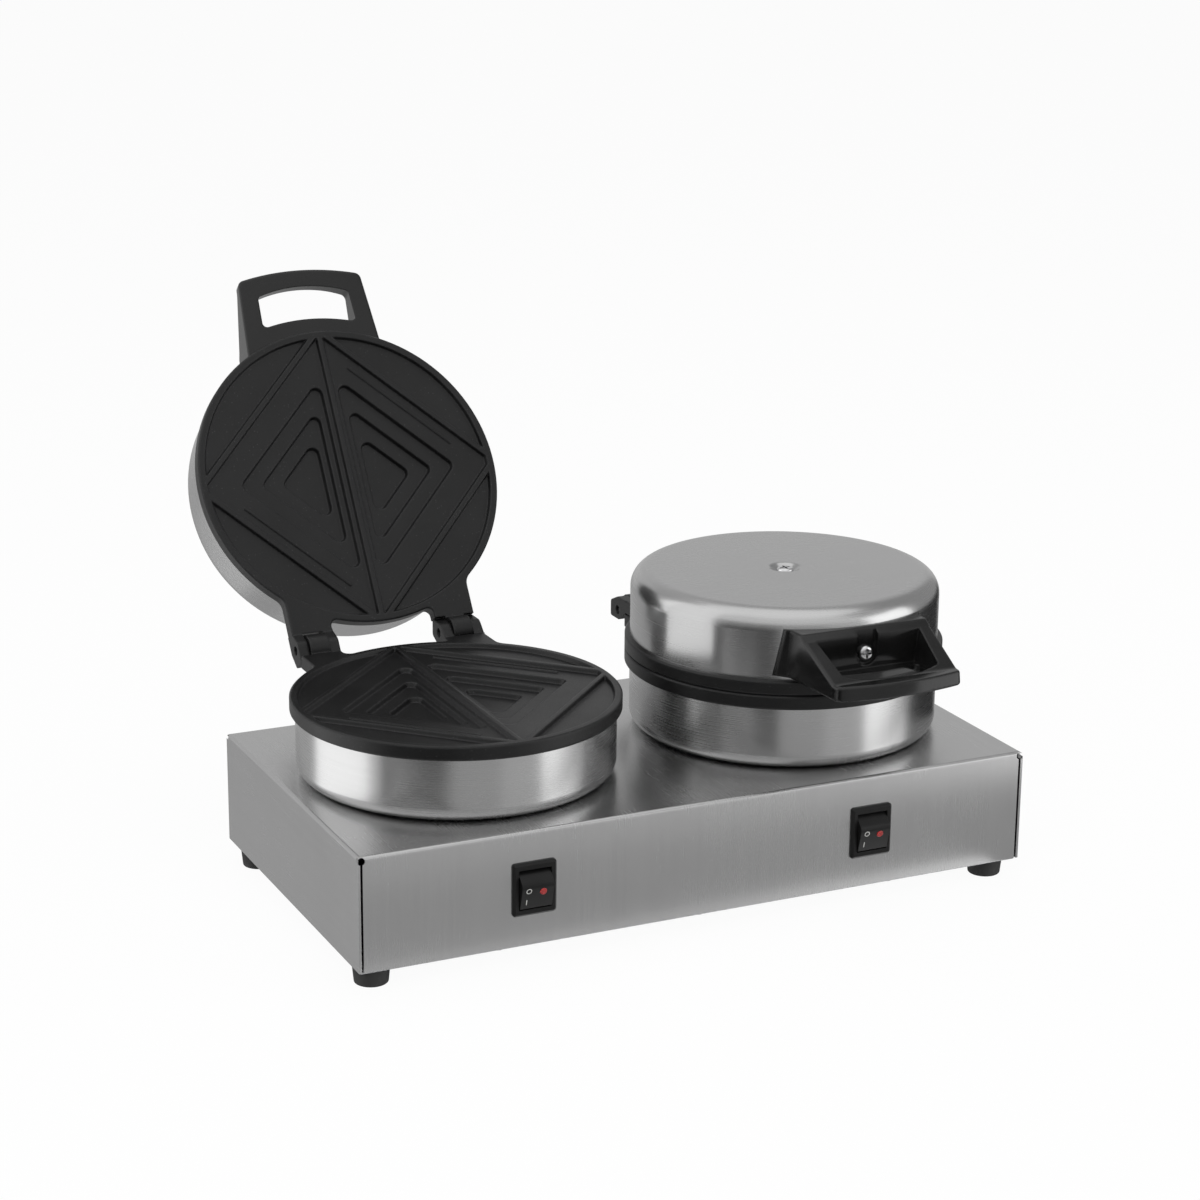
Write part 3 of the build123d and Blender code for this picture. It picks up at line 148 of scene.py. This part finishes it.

# Painted shade in the recesses of plated screws: how near it looks, from which openness to which, and its tone
PAINTED_SHADE_REACH = 1.6 * MM
PAINTED_SHADE_OPENNESS = (0.25, 0.85)
PAINTED_SHADE_TONE = 0.08
PAINTED_SHADE_SAMPLES = 8

# Non-stick coating: its levels of grey, its light specks and where an edge is painted paler, partly as wear and
# partly as a painted highlight
COATING_LEVEL = (0.003, 0.006)
COATING_WEAR_AND_HIGHLIGHT = 0.014
COATING_SPECKS = 0.05
SPECK_SIZE = (0.1, 0.2)
SPECKS_LEFT_OUT = 0.86
EDGE_WEAR_AND_HIGHLIGHT_RANGE = (0.86, 0.99)

# Mouldings by slot: two colours, roughness and texture, and the shader values that differ from the usual
BLACK = ((0.005, 0.005, 0.005), (0.009, 0.009, 0.009))
MOULDINGS = {
    "rubber": {
        "colours": ((0.022, 0.022, 0.022), (0.036, 0.036, 0.035)),
        "roughness": (0.62, 0.8),
        "grain_scale": 1100.0,
        "grain_depth": 0.05 * MM,
    },
    "handle_plastic": {
        "colours": BLACK,
        "roughness": (0.09, 0.15),
        "grain_scale": 900.0,
        "grain_depth": 0.006 * MM,
        "edge": HANDLE_EDGE,
        "Specular_IOR_Level": 0.45,
    },
    "switch_plastic": {
        "colours": BLACK,
        "roughness": (0.3, 0.4),
        "grain_scale": 1400.0,
        "grain_depth": 0.01 * MM,
        "Specular_IOR_Level": 0.3,
    },
    "thermostat_plastic": {
        "colours": ((0.11, 0.08, 0.06), (0.15, 0.11, 0.085)),
        "roughness": (0.4, 0.5),
        "grain_scale": 900.0,
        "grain_depth": 0.03 * MM,
    },
    "gland_plastic": {
        "colours": ((0.024, 0.024, 0.024), (0.034, 0.034, 0.034)),
        "roughness": (0.45, 0.58),
        "grain_scale": 800.0,
        "grain_depth": 0.03 * MM,
    },
    "block_plastic": {
        "colours": ((0.74, 0.74, 0.7), (0.8, 0.8, 0.77)),
        "roughness": (0.4, 0.5),
        "grain_scale": 700.0,
        "grain_depth": 0.03 * MM,
    },
}
MARK_PAINT = {
    "colours": ((0.5, 0.5, 0.48), (0.62, 0.62, 0.6)),
    "roughness": (0.45, 0.55),
    "grain_scale": 3000.0,
    "grain_depth": 0.01 * MM,
    "edge": PRINT_EDGE,
}

# Printed marks: sizes, and places right of and above the lens's middle
MARK_RISE = 0.05 * MM
MARK_LINE = 0.5 * MM
O_RADIUS = 1.75 * MM
O_STEPS = 48
I_HEIGHT = 3.7 * MM
I_END_STEPS = 6
O_FROM_LENS = (-9.1 * MM, 1.3 * MM)
I_FROM_LENS = (-9.9 * MM, -6.4 * MM)
ROCKER_FACE_TILT = radians(14.95)
SAME_WAY = 0.999


# Small helpers for node trees
def add(tree, kind, inputs=None, **settings):
    """A new node with its settings and its inputs, each a value or another node's output."""
    node = tree.nodes.new(kind)
    for name, value in settings.items():
        setattr(node, name, value)
    for key, value in (inputs or {}).items():
        if isinstance(value, bpy.types.NodeSocket):
            tree.links.new(value, node.inputs[key])
        else:
            node.inputs[key].default_value = value
    return node


def calc(tree, operation, *values):
    return add(tree, "ShaderNodeMath", dict(enumerate(values)), operation=operation).outputs[0]


def times(tree, a, b):
    return calc(tree, "MULTIPLY", a, b)


def total(tree, first, *others):
    for value in others:
        first = calc(tree, "ADD", first, value)
    return first


def vector_node(tree, operation, *values):
    return add(tree, "ShaderNodeVectorMath", dict(enumerate(values)), operation=operation)


def vector_calc(tree, operation, *values):
    return vector_node(tree, operation, *values).outputs["Vector"]


def dot(tree, a, b):
    return vector_node(tree, "DOT_PRODUCT", a, b).outputs["Value"]


def combine(tree, x=0.0, y=0.0, z=0.0):
    return add(tree, "ShaderNodeCombineXYZ", {0: x, 1: y, 2: z}).outputs[0]


def separate(tree, vector):
    return add(tree, "ShaderNodeSeparateXYZ", {0: vector}).outputs


def place(tree):
    """The point's place in the row frame, as it is when its body is at rest."""
    return add(tree, "ShaderNodeTexCoord").outputs["Object"]


def object_normal(tree):
    return add(tree, "ShaderNodeTexCoord").outputs["Normal"]


def noise(tree, vector, scale, detail=2.0, roughness=0.5):
    inputs = {"Vector": vector, "Scale": scale, "Detail": detail, "Roughness": roughness}
    return add(tree, "ShaderNodeTexNoise", inputs).outputs["Fac"]


def cells(tree, vector, scale):
    """Cells of a Voronoi texture: the distance from each one's middle, and a random number for each."""
    texture = add(tree, "ShaderNodeTexVoronoi", {"Vector": vector, "Scale": scale}).outputs
    number = add(tree, "ShaderNodeSeparateColor", {0: texture["Color"]}).outputs[0]
    return texture["Distance"], number


def spread(tree, value, given, wanted):
    """Maps value from one range to another, clamped."""
    inputs = {0: value, 1: given[0], 2: given[1], 3: wanted[0], 4: wanted[1]}
    return add(tree, "ShaderNodeMapRange", inputs).outputs[0]


def grey(tree, value, tint=(1.0, 1.0, 1.0)):
    red, green, blue = (times(tree, value, part) for part in tint)
    inputs = {"Red": red, "Green": green, "Blue": blue}
    return add(tree, "ShaderNodeCombineColor", inputs).outputs[0]


def blend(tree, share, a, b):
    """Colour a where share is 0 and b where it is 1."""
    inputs = {"Factor": share, 6: (*a, 1.0), 7: (*b, 1.0)}
    return add(tree, "ShaderNodeMix", inputs, data_type="RGBA").outputs[2]


def mix_vectors(tree, share, a, b):
    """Vector a where share is 0 and b where it is 1."""
    inputs = {"Factor": share, 4: a, 5: b}
    return add(tree, "ShaderNodeMix", inputs, data_type="VECTOR").outputs[1]


def bump(tree, height, distance, strength, normal=None):
    inputs = {"Height": height, "Distance": distance, "Strength": strength}
    if normal is not None:
        inputs["Normal"] = normal
    return add(tree, "ShaderNodeBump", inputs).outputs[0]


def soft_edges(tree, radius):
    """Normals that round off the edges of a piece by radius."""
    return add(tree, "ShaderNodeBevel", {"Radius": radius}, samples=EDGE_SAMPLES).outputs[0]


def principled(name, **values):
    """A material, its node tree and its shader, whose constant values are given by socket name."""
    material = bpy.data.materials.new(name)
    material.use_nodes = True
    tree = material.node_tree
    shader = tree.nodes["Principled BSDF"]
    for socket, value in values.items():
        shader.inputs[socket.replace("_", " ")].default_value = value
    return material, tree, shader


def link(tree, shader, **sockets):
    for socket, output in sockets.items():
        tree.links.new(output, shader.inputs[socket.replace("_", " ")])


# Sheet metal
def grain_lines(tree, across, along):
    """Coordinates in which a noise becomes fine lines: short steps across them and long ones along."""
    step_across = times(tree, across, 1 / GRAIN_PITCH)
    step_along = times(tree, along, 1 / (GRAIN_PITCH * GRAIN_STRETCH))
    return combine(tree, step_across, step_along)


def finish_sheet(tree, shader, grain, tangent, roughness, contrast):
    """Grain lines and cloudy stains on a ground steel sheet. grain is the coordinates of its lines."""
    fine = noise(tree, grain, scale=1.0, detail=3.0, roughness=0.6)
    broad = noise(tree, grain, scale=0.12)
    cloud = noise(tree, place(tree), scale=14.0, detail=3.0, roughness=0.6)
    fine_streaks = spread(tree, fine, (0.25, 0.75), (-1, 1))
    broad_streaks = spread(tree, broad, MIDDLE, (-0.6, 0.6))
    streaks = times(tree, total(tree, fine_streaks, broad_streaks), contrast)
    stains = spread(tree, cloud, MIDDLE, (-0.012, 0.012))
    colour = grey(tree, total(tree, streaks, stains, STEEL))
    fine_rough = spread(tree, fine, WIDE, (-0.02, 0.02))
    cloud_rough = spread(tree, cloud, MIDDLE, (-0.015, 0.015))
    rough = total(tree, fine_rough, cloud_rough, roughness)
    normal = bump(tree, fine, distance=0.003 * MM, strength=0.5, normal=soft_edges(tree, SHEET_EDGE))
    link(tree, shader, Base_Color=colour, Roughness=rough, Normal=normal, Tangent=tangent)


def folded_sheet():
    """The base cover: the grain runs front to back over the top, and up the front and rear walls."""
    material, tree, shader = principled("ground_sheet", Metallic=1.0, Anisotropic=BASE_ANISOTROPY)
    x, y, z = separate(tree, place(tree))
    facing = calc(tree, "ABSOLUTE", separate(tree, object_normal(tree))[0])
    on_side = calc(tree, "GREATER_THAN", facing, SIDE_WALL_FACING)
    on_rest = calc(tree, "SUBTRACT", 1.0, on_side)
    across = total(tree, times(tree, x, on_rest), times(tree, z, on_side))
    along = total(tree, y, times(tree, z, on_rest))
    grain = grain_lines(tree, across, along)
    tangent = combine(tree, x=on_rest, z=on_side)
    finish_sheet(tree, shader, grain, tangent, **BASE_FINISH)
    return material


def spun_sheet(name, centre, axis):
    """A drawn shell: its wall is polished in rings about its own axis, its flat end in straight lines."""
    values = {"Anisotropic": SHELL_ANISOTROPY, "Anisotropic_Rotation": QUARTER_TURN}
    material, tree, shader = principled(name, Metallic=1.0, **values)
    out = vector_calc(tree, "SUBTRACT", place(tree), tuple(centre))
    turn = vector_calc(tree, "NORMALIZE", vector_calc(tree, "CROSS_PRODUCT", tuple(axis), out))
    height = times(tree, dot(tree, out, tuple(axis)), 1 / GRAIN_PITCH)
    drift = vector_calc(tree, "MULTIPLY", turn, (RING_DRIFT, RING_DRIFT, RING_DRIFT))
    rings = vector_calc(tree, "ADD", combine(tree, x=height), drift)
    across = dot(tree, out, tuple(axis.cross(RIGHT)))
    along = dot(tree, out, tuple(RIGHT))
    lines = grain_lines(tree, across, along)
    facing = calc(tree, "ABSOLUTE", dot(tree, object_normal(tree), tuple(axis)))
    on_end = spread(tree, facing, FLAT_END_FACING, WHOLE)
    grain = mix_vectors(tree, on_end, rings, lines)
    lean = mix_vectors(tree, on_end, turn, tuple(RIGHT))
    settings = {"vector_type": "VECTOR", "convert_from": "OBJECT", "convert_to": "WORLD"}
    tangent = add(tree, "ShaderNodeVectorTransform", {0: lean}, **settings).outputs[0]
    finish_sheet(tree, shader, grain, tangent, **SHELL_FINISH)
    return material


def zinc_sheet():
    """Zinc-coated sheet with a faint spangle."""
    material, tree, shader = principled("zinc_sheet", Metallic=1.0)
    at = place(tree)
    flake = cells(tree, at, scale=140.0)[1]
    cloud = noise(tree, at, scale=30.0, detail=3.0)
    level = total(tree, spread(tree, flake, WHOLE, (0.48, 0.58)), spread(tree, cloud, MIDDLE, (-0.03, 0.03)))
    colour = grey(tree, level, tint=(0.98, 1.0, 1.02))
    rough = total(tree, spread(tree, flake, WHOLE, (0.34, 0.46)), spread(tree, cloud, MIDDLE, (-0.04, 0.04)))
    normal = bump(tree, cloud, distance=0.02 * MM, strength=0.4, normal=soft_edges(tree, SMALL_EDGE))
    link(tree, shader, Base_Color=colour, Roughness=rough, Normal=normal)
    return material


def plated_steel():
    """Bright plated screws, nuts and pins, with a little handling haze and painted shade in their recesses."""
    material, tree, shader = principled("plated_steel", Metallic=1.0)
    at = place(tree)
    fine = noise(tree, at, scale=2600.0)
    haze = noise(tree, at, scale=160.0, detail=3.0)
    # Painted shade: the base colour is darkened where the surface is enclosed, as in the screws' recesses
    near = add(tree, "ShaderNodeAmbientOcclusion", {"Distance": PAINTED_SHADE_REACH}, samples=PAINTED_SHADE_SAMPLES)
    openness = near.outputs["AO"]
    painted_shade_factor = spread(tree, openness, PAINTED_SHADE_OPENNESS, (PAINTED_SHADE_TONE, 1))
    level = times(tree, spread(tree, haze, MIDDLE, (0.7, 0.8)), painted_shade_factor)
    colour = grey(tree, level, tint=(1.0, 1.0, 1.01))
    rough = total(tree, spread(tree, fine, WIDE, (0.16, 0.26)), spread(tree, haze, MIDDLE, (-0.03, 0.05)))
    normal = bump(tree, fine, distance=0.01 * MM, strength=0.4, normal=soft_edges(tree, SMALL_EDGE))
    link(tree, shader, Base_Color=colour, Roughness=rough, Normal=normal)
    return material


def tinted_tube():
    """Element sheath: steel with straw and blue heat tints."""
    material, tree, shader = principled("tinted_tube", Metallic=1.0)
    straw, blue = (0.38, 0.31, 0.22), (0.27, 0.28, 0.33)
    at = place(tree)
    tint = noise(tree, at, scale=38.0, detail=3.0)
    fine = noise(tree, at, scale=900.0)
    colour = blend(tree, spread(tree, tint, (0.35, 0.65), WHOLE), straw, blue)
    rough = total(tree, spread(tree, fine, WIDE, (0.36, 0.5)), spread(tree, tint, MIDDLE, (-0.04, 0.04)))
    normal = bump(tree, fine, distance=0.02 * MM, strength=0.5)
    link(tree, shader, Base_Color=colour, Roughness=rough, Normal=normal)
    return material


def brass():
    """Brass with a duller haze of handling."""
    material, tree, shader = principled("plain_brass", Metallic=1.0)
    bright, dull = (0.74, 0.56, 0.29), (0.62, 0.46, 0.23)
    haze = noise(tree, place(tree), scale=240.0, detail=3.0)
    colour = blend(tree, spread(tree, haze, MIDDLE, WHOLE), bright, dull)
    rough = spread(tree, haze, WIDE, (0.24, 0.38))
    normal = bump(tree, haze, distance=0.02 * MM, strength=0.4, normal=soft_edges(tree, TINY_EDGE))
    link(tree, shader, Base_Color=colour, Roughness=rough, Normal=normal)
    return material


# Black coating, mouldings and rubber
def coated_casting():
    """Non-stick coating: a fine pebbled film with sparse light specks, paler on its edges, partly from wear and
    partly as a painted highlight.
    """
    material, tree, shader = principled("coated_casting", Specular_IOR_Level=0.4)
    at = place(tree)
    pebbles = noise(tree, at, scale=1000.0, roughness=0.6)
    waves = noise(tree, at, scale=220.0)
    cloud = noise(tree, at, scale=22.0, detail=3.0, roughness=0.6)
    from_middle, number = cells(tree, at, scale=650.0)
    chosen = calc(tree, "GREATER_THAN", number, SPECKS_LEFT_OUT)
    specks = times(tree, spread(tree, from_middle, SPECK_SIZE, (1, 0)), chosen)
    rounded = soft_edges(tree, CASTING_EDGE)
    flat = add(tree, "ShaderNodeNewGeometry").outputs["Normal"]
    # Edges, convex and concave alike, are painted paler: partly wear, partly a painted highlight
    edge = spread(tree, dot(tree, rounded, flat), EDGE_WEAR_AND_HIGHLIGHT_RANGE, (1, 0))
    film = spread(tree, cloud, MIDDLE, COATING_LEVEL)
    level = total(tree, film, times(tree, edge, COATING_WEAR_AND_HIGHLIGHT), times(tree, specks, COATING_SPECKS))
    colour = grey(tree, level, tint=(1.0, 1.0, 1.03))
    rough = total(tree, spread(tree, cloud, MIDDLE, (0.36, 0.44)), spread(tree, pebbles, WIDE, (-0.06, 0.06)))
    pebbled = bump(tree, pebbles, distance=0.08 * MM, strength=0.8, normal=rounded)
    normal = bump(tree, waves, distance=0.03 * MM, strength=0.5, normal=pebbled)
    link(tree, shader, Base_Color=colour, Roughness=rough, Normal=normal)
    return material


def moulding(name, colours, roughness, grain_scale, grain_depth, edge=SMALL_EDGE, **values):
    """A moulded plastic or rubber between two colours, with its texture, handling haze and softened edges."""
    material, tree, shader = principled(name, **values)
    at = place(tree)
    cloud = noise(tree, at, scale=26.0, detail=3.0, roughness=0.6)
    grain = noise(tree, at, scale=grain_scale, roughness=0.55)
    colour = blend(tree, spread(tree, cloud, MIDDLE, WHOLE), *colours)
    rough = total(tree, spread(tree, cloud, MIDDLE, roughness), spread(tree, grain, WIDE, (-0.03, 0.03)))
    normal = bump(tree, grain, distance=grain_depth, strength=0.6, normal=soft_edges(tree, edge))
    link(tree, shader, Base_Color=colour, Roughness=rough, Normal=normal)
    return material


def lens_plastic():
    """Clear red lens over a neon lamp that is off, with an uneven depth of colour."""
    values = {"IOR": 1.49, "Transmission_Weight": 0.35, "Coat_Weight": 0.6, "Coat_Roughness": 0.05}
    material, tree, shader = principled("red_lens", **values)
    deep, pale = (0.42, 0.012, 0.012), (0.62, 0.03, 0.026)
    depth = noise(tree, place(tree), scale=700.0)
    colour = blend(tree, spread(tree, depth, MIDDLE, WHOLE), deep, pale)
    rough = spread(tree, depth, WIDE, (0.12, 0.22))
    normal = bump(tree, depth, distance=0.05 * MM, strength=0.5, normal=soft_edges(tree, TINY_EDGE))
    link(tree, shader, Base_Color=colour, Roughness=rough, Normal=normal)
    return material


# Which finish each node gets
def lid_centre_and_axis(side):
    """A point on the axis of a lid's shell, and that axis, at rest. The left lid rests open."""
    hinge = next(joint for joint in frame["joints"] if joint["name"] == f"{side}_lid_hinge")
    pivot = Vector(hinge["pos_m"])
    low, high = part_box(f"{side}_pan")
    reach = pivot.y - low.y - (high.x - low.x) / 2
    swing = radians(-hinge["range_deg"][0])
    forward = Vector((0, -cos(swing), sin(swing)))
    axis = Vector((0, sin(swing), cos(swing)))
    return pivot + forward * reach, axis


def shell_materials():
    """The four drawn shells by node, each about its own axis."""
    made = {}
    for side in SIDES:
        low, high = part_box(f"{side}_pan")
        made[f"{side}_pan"] = spun_sheet(f"{side}_pan_sheet", (low + high) / 2, UP)
        made[f"{side}_lid_cover"] = spun_sheet(f"{side}_cover_sheet", *lid_centre_and_axis(side))
    return made


def slot_materials():
    made = {slot: moulding(slot, **look) for slot, look in MOULDINGS.items()}
    made["stainless"] = folded_sheet()
    made["floor_sheet"] = zinc_sheet()
    made["bright_steel"] = plated_steel()
    made["coated_casting"] = coated_casting()
    made["element_tube"] = tinted_tube()
    made["red_lens"] = lens_plastic()
    made["terminal_brass"] = brass()
    return made


def dress_nodes():
    """Gives each CAD node its shell's own finish, or else that of its slot."""
    slots = slot_materials()
    shells = shell_materials()
    for part in frame["record"]["subparts"]:
        piece = frame["nodes"][part["node"]]
        material = shells.get(part["node"], slots[part["material_slot"]])
        if not piece.material_slots:
            piece.data.materials.append(material)
        for slot in piece.material_slots:
            slot.material = material


def mesh_object(name, points, faces):
    """A new mesh object in the scene."""
    mesh = bpy.data.meshes.new(name)
    mesh.from_pydata(points, [], faces)
    piece = bpy.data.objects.new(name, mesh)
    bpy.context.scene.collection.objects.link(piece)
    return piece


# Printed marks on the rockers: a ring and a bar
def strip_mesh(name, inner, outer, closed):
    """A thin raised band between two rows of points, lying in the XY plane and rising along Z."""
    count = len(inner)
    points = [(x, y, z) for z in (0.0, MARK_RISE) for row in (inner, outer) for x, y in row]
    low_in, low_out, top_in, top_out = (row * count for row in range(4))
    faces = []
    for n in range(count if closed else count - 1):
        m = (n + 1) % count
        faces.append((top_in + n, top_in + m, top_out + m, top_out + n))
        faces.append((low_in + m, low_in + n, low_out + n, low_out + m))
        faces.append((low_out + n, top_out + n, top_out + m, low_out + m))
        faces.append((low_in + n, low_in + m, top_in + m, top_in + n))
    if not closed:
        last = count - 1
        faces.append((low_in, low_out, top_out, top_in))
        faces.append((low_in + last, top_in + last, top_out + last, low_out + last))
    return mesh_object(name, points, faces)


def ring(name):
    turns = [2 * pi * n / O_STEPS for n in range(O_STEPS)]
    inner = [((O_RADIUS - MARK_LINE) * cos(t), (O_RADIUS - MARK_LINE) * sin(t)) for t in turns]
    outer = [(O_RADIUS * cos(t), O_RADIUS * sin(t)) for t in turns]
    return strip_mesh(name, inner, outer, closed=True)


def bar(name):
    """A bar with round ends, built as a band between its two long sides."""
    half = MARK_LINE / 2
    reach = I_HEIGHT / 2 - half
    arc = [pi / 2 * n / I_END_STEPS for n in range(I_END_STEPS + 1)]
    lower = [(half * cos(t), -reach - half * sin(t)) for t in reversed(arc)]
    upper = [(half * cos(t), reach + half * sin(t)) for t in arc]
    right = lower[1:] + upper[:-1]
    left = [(-x, y) for x, y in right]
    return strip_mesh(name, left, right, closed=False)


def face_point(piece, near, outward):
    """near, moved along outward onto the largest of the piece's faces that look that way."""
    looking = [face for face in piece.data.polygons if face.normal.dot(outward) > SAME_WAY]
    largest = max(looking, key=lambda face: face.area)
    return near + outward * (largest.center - near).dot(outward)


def place_marks(paint):
    """Puts the ring and the bar on each rocker's lower face, beside the lens."""
    outward = Vector((0, -cos(ROCKER_FACE_TILT), -sin(ROCKER_FACE_TILT)))
    up = Vector((0, -sin(ROCKER_FACE_TILT), cos(ROCKER_FACE_TILT)))
    turn = Matrix((RIGHT, up, outward)).transposed().to_4x4()
    for side in SIDES:
        low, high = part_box(f"{side}_neon_lens")
        middle = face_point(frame["nodes"][f"{side}_switch_rocker"], (low + high) / 2, outward)
        for make, name, offset in ((ring, "off_mark", O_FROM_LENS), (bar, "on_mark", I_FROM_LENS)):
            piece = make(f"{side}_{name}")
            at = middle + RIGHT * offset[0] + up * offset[1]
            piece.data.transform(Matrix.Translation(at) @ turn)
            piece.data.materials.append(paint)
            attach(piece, f"{side}_rocker")


# Studio
def seen_by_eye(tree):
    """1 for camera, glossy and transmission rays, so that metal and glass show the white background too."""
    path = add(tree, "ShaderNodeLightPath").outputs
    seen = calc(tree, "MAXIMUM", path["Is Camera Ray"], path["Is Glossy Ray"])
    return calc(tree, "MAXIMUM", seen, path["Is Transmission Ray"])


def build_world():
    world = bpy.data.worlds.new("studio")
    world.use_nodes = True
    tree = world.node_tree
    level = spread(tree, seen_by_eye(tree), WHOLE, (SKY_LEVEL, SEEN_LEVEL))
    tree.links.new(grey(tree, level), tree.nodes["Background"].inputs["Color"])
    bpy.context.scene.world = world


def studio_material(name):
    """An empty material and its node tree."""
    material = bpy.data.materials.new(name)
    material.use_nodes = True
    material.node_tree.nodes.clear()
    return material, material.node_tree


def mixed_surface(tree, share, a, b):
    """Makes shader a the surface where share is 0 and shader b where it is 1."""
    mixed = add(tree, "ShaderNodeMixShader", {0: share, 1: a, 2: b}).outputs[0]
    add(tree, "ShaderNodeOutputMaterial", {"Surface": mixed})


def glow_shader(tree, level):
    return add(tree, "ShaderNodeEmission", {"Color": WHITE, "Strength": level}).outputs[0]


def build_floor():
    """A pale floor that takes the object's shadow, and looks white where it isn't shaded."""
    side = FLOOR_SIDE / 2
    corners = [(x, y, FLOOR_LEVEL) for x, y in ((-side, -side), (side, -side), (side, side), (-side, side))]
    floor = mesh_object("floor", corners, [(0, 1, 2, 3)])
    floor.visible_glossy = False
    material, tree = studio_material("pale_floor")
    cloud = noise(tree, place(tree), scale=FLOOR_CLOUD_SCALE)
    tones = (FLOOR_COLOUR - FLOOR_CLOUD, FLOOR_COLOUR + FLOOR_CLOUD)
    colour = grey(tree, spread(tree, cloud, MIDDLE, tones))
    matt = add(tree, "ShaderNodeBsdfDiffuse", {"Color": colour}).outputs[0]
    share = times(tree, seen_by_eye(tree), FLOOR_GLOW)
    mixed_surface(tree, share, matt, glow_shader(tree, SEEN_LEVEL))
    floor.data.materials.append(material)


def build_reflected_card(name, points, faces, level):
    """A card that glows on its front and lets light through from behind, and only reflections see it."""
    card = mesh_object(name, points, faces)
    card.visible_camera = False
    card.visible_diffuse = False
    card.visible_transmission = False
    card.visible_shadow = False
    material, tree = studio_material(name)
    behind = add(tree, "ShaderNodeNewGeometry").outputs["Backfacing"]
    clear = add(tree, "ShaderNodeBsdfTransparent").outputs[0]
    mixed_surface(tree, behind, glow_shader(tree, level), clear)
    card.data.materials.append(material)


def build_card(name, start, end, low, high, level):
    """Part of a tall cylinder round the object, lit evenly."""
    points = []
    for n in range(CARD_STEPS + 1):
        turn = radians(start + (end - start) * n / CARD_STEPS)
        for tilt in (low, high):
            height = CARD_DISTANCE * tan(radians(tilt))
            points.append((CARD_DISTANCE * sin(turn), -CARD_DISTANCE * cos(turn), height))
    faces = [(2 * n, 2 * n + 1, 2 * n + 3, 2 * n + 2) for n in range(CARD_STEPS)]
    build_reflected_card(name, points, faces, level)


# A dim card on the floor: painted shade of the floor, seen only in reflections
def build_floor_card(name, left, right, front, back, level):
    corners = ((left, front), (right, front), (right, back), (left, back))
    points = [(x, y, FLOOR_CARD_HEIGHT) for x, y in corners]
    build_reflected_card(name, points, [(0, 1, 2, 3)], level)


def build_lid_card(name, x, front, back, low, high, level):
    points = [(x, front, low), (x, back, low), (x, back, high), (x, front, high)]
    build_reflected_card(name, points, [(0, 1, 2, 3)], level)


def build_lamp(name, at, size, power):
    """A square lamp aimed at the object's middle, which reflections don't see."""
    data = bpy.data.lights.new(name, "AREA")
    data.shape = "SQUARE"
    data.size = size
    data.energy = power
    lamp = bpy.data.objects.new(name, data)
    lamp.location = at
    lamp.rotation_mode = "QUATERNION"
    middle = (cad_box[0] + cad_box[1]) / 2
    lamp.rotation_quaternion = (middle - Vector(at)).to_track_quat("-Z", "Y")
    lamp.visible_glossy = False
    bpy.context.scene.collection.objects.link(lamp)


def build_camera():
    """The photograph's camera: its place, its angles and its lens."""
    azimuth, elevation = CAMERA_AZIMUTH, CAMERA_ELEVATION
    level_right = Vector((cos(azimuth), sin(azimuth), 0))
    back = Vector((sin(azimuth) * cos(elevation), -cos(azimuth) * cos(elevation), sin(elevation)))
    level_up = back.cross(level_right)
    right = level_right * cos(CAMERA_ROLL) + level_up * sin(CAMERA_ROLL)
    up = level_up * cos(CAMERA_ROLL) - level_right * sin(CAMERA_ROLL)
    data = bpy.data.cameras.new("camera")
    data.lens = CAMERA_LENS
    data.sensor_width = SENSOR_WIDTH
    camera = bpy.data.objects.new("camera", data)
    turn = Matrix((right, up, back)).transposed().to_4x4()
    camera.matrix_world = Matrix.Translation(CAMERA_PLACE) @ turn
    bpy.context.scene.collection.objects.link(camera)
    bpy.context.scene.camera = camera


dress_nodes()
place_marks(moulding("mark_paint", **MARK_PAINT))
build_world()
build_floor()
for card in CARDS:
    build_card(*card)
for card in PAINTED_FLOOR_SHADE_CARDS:
    build_floor_card(*card)
build_lid_card(*LID_CARD)
for lamp in LAMPS:
    build_lamp(*lamp)
build_camera()
bpy.context.scene.view_settings.view_transform = "Standard"
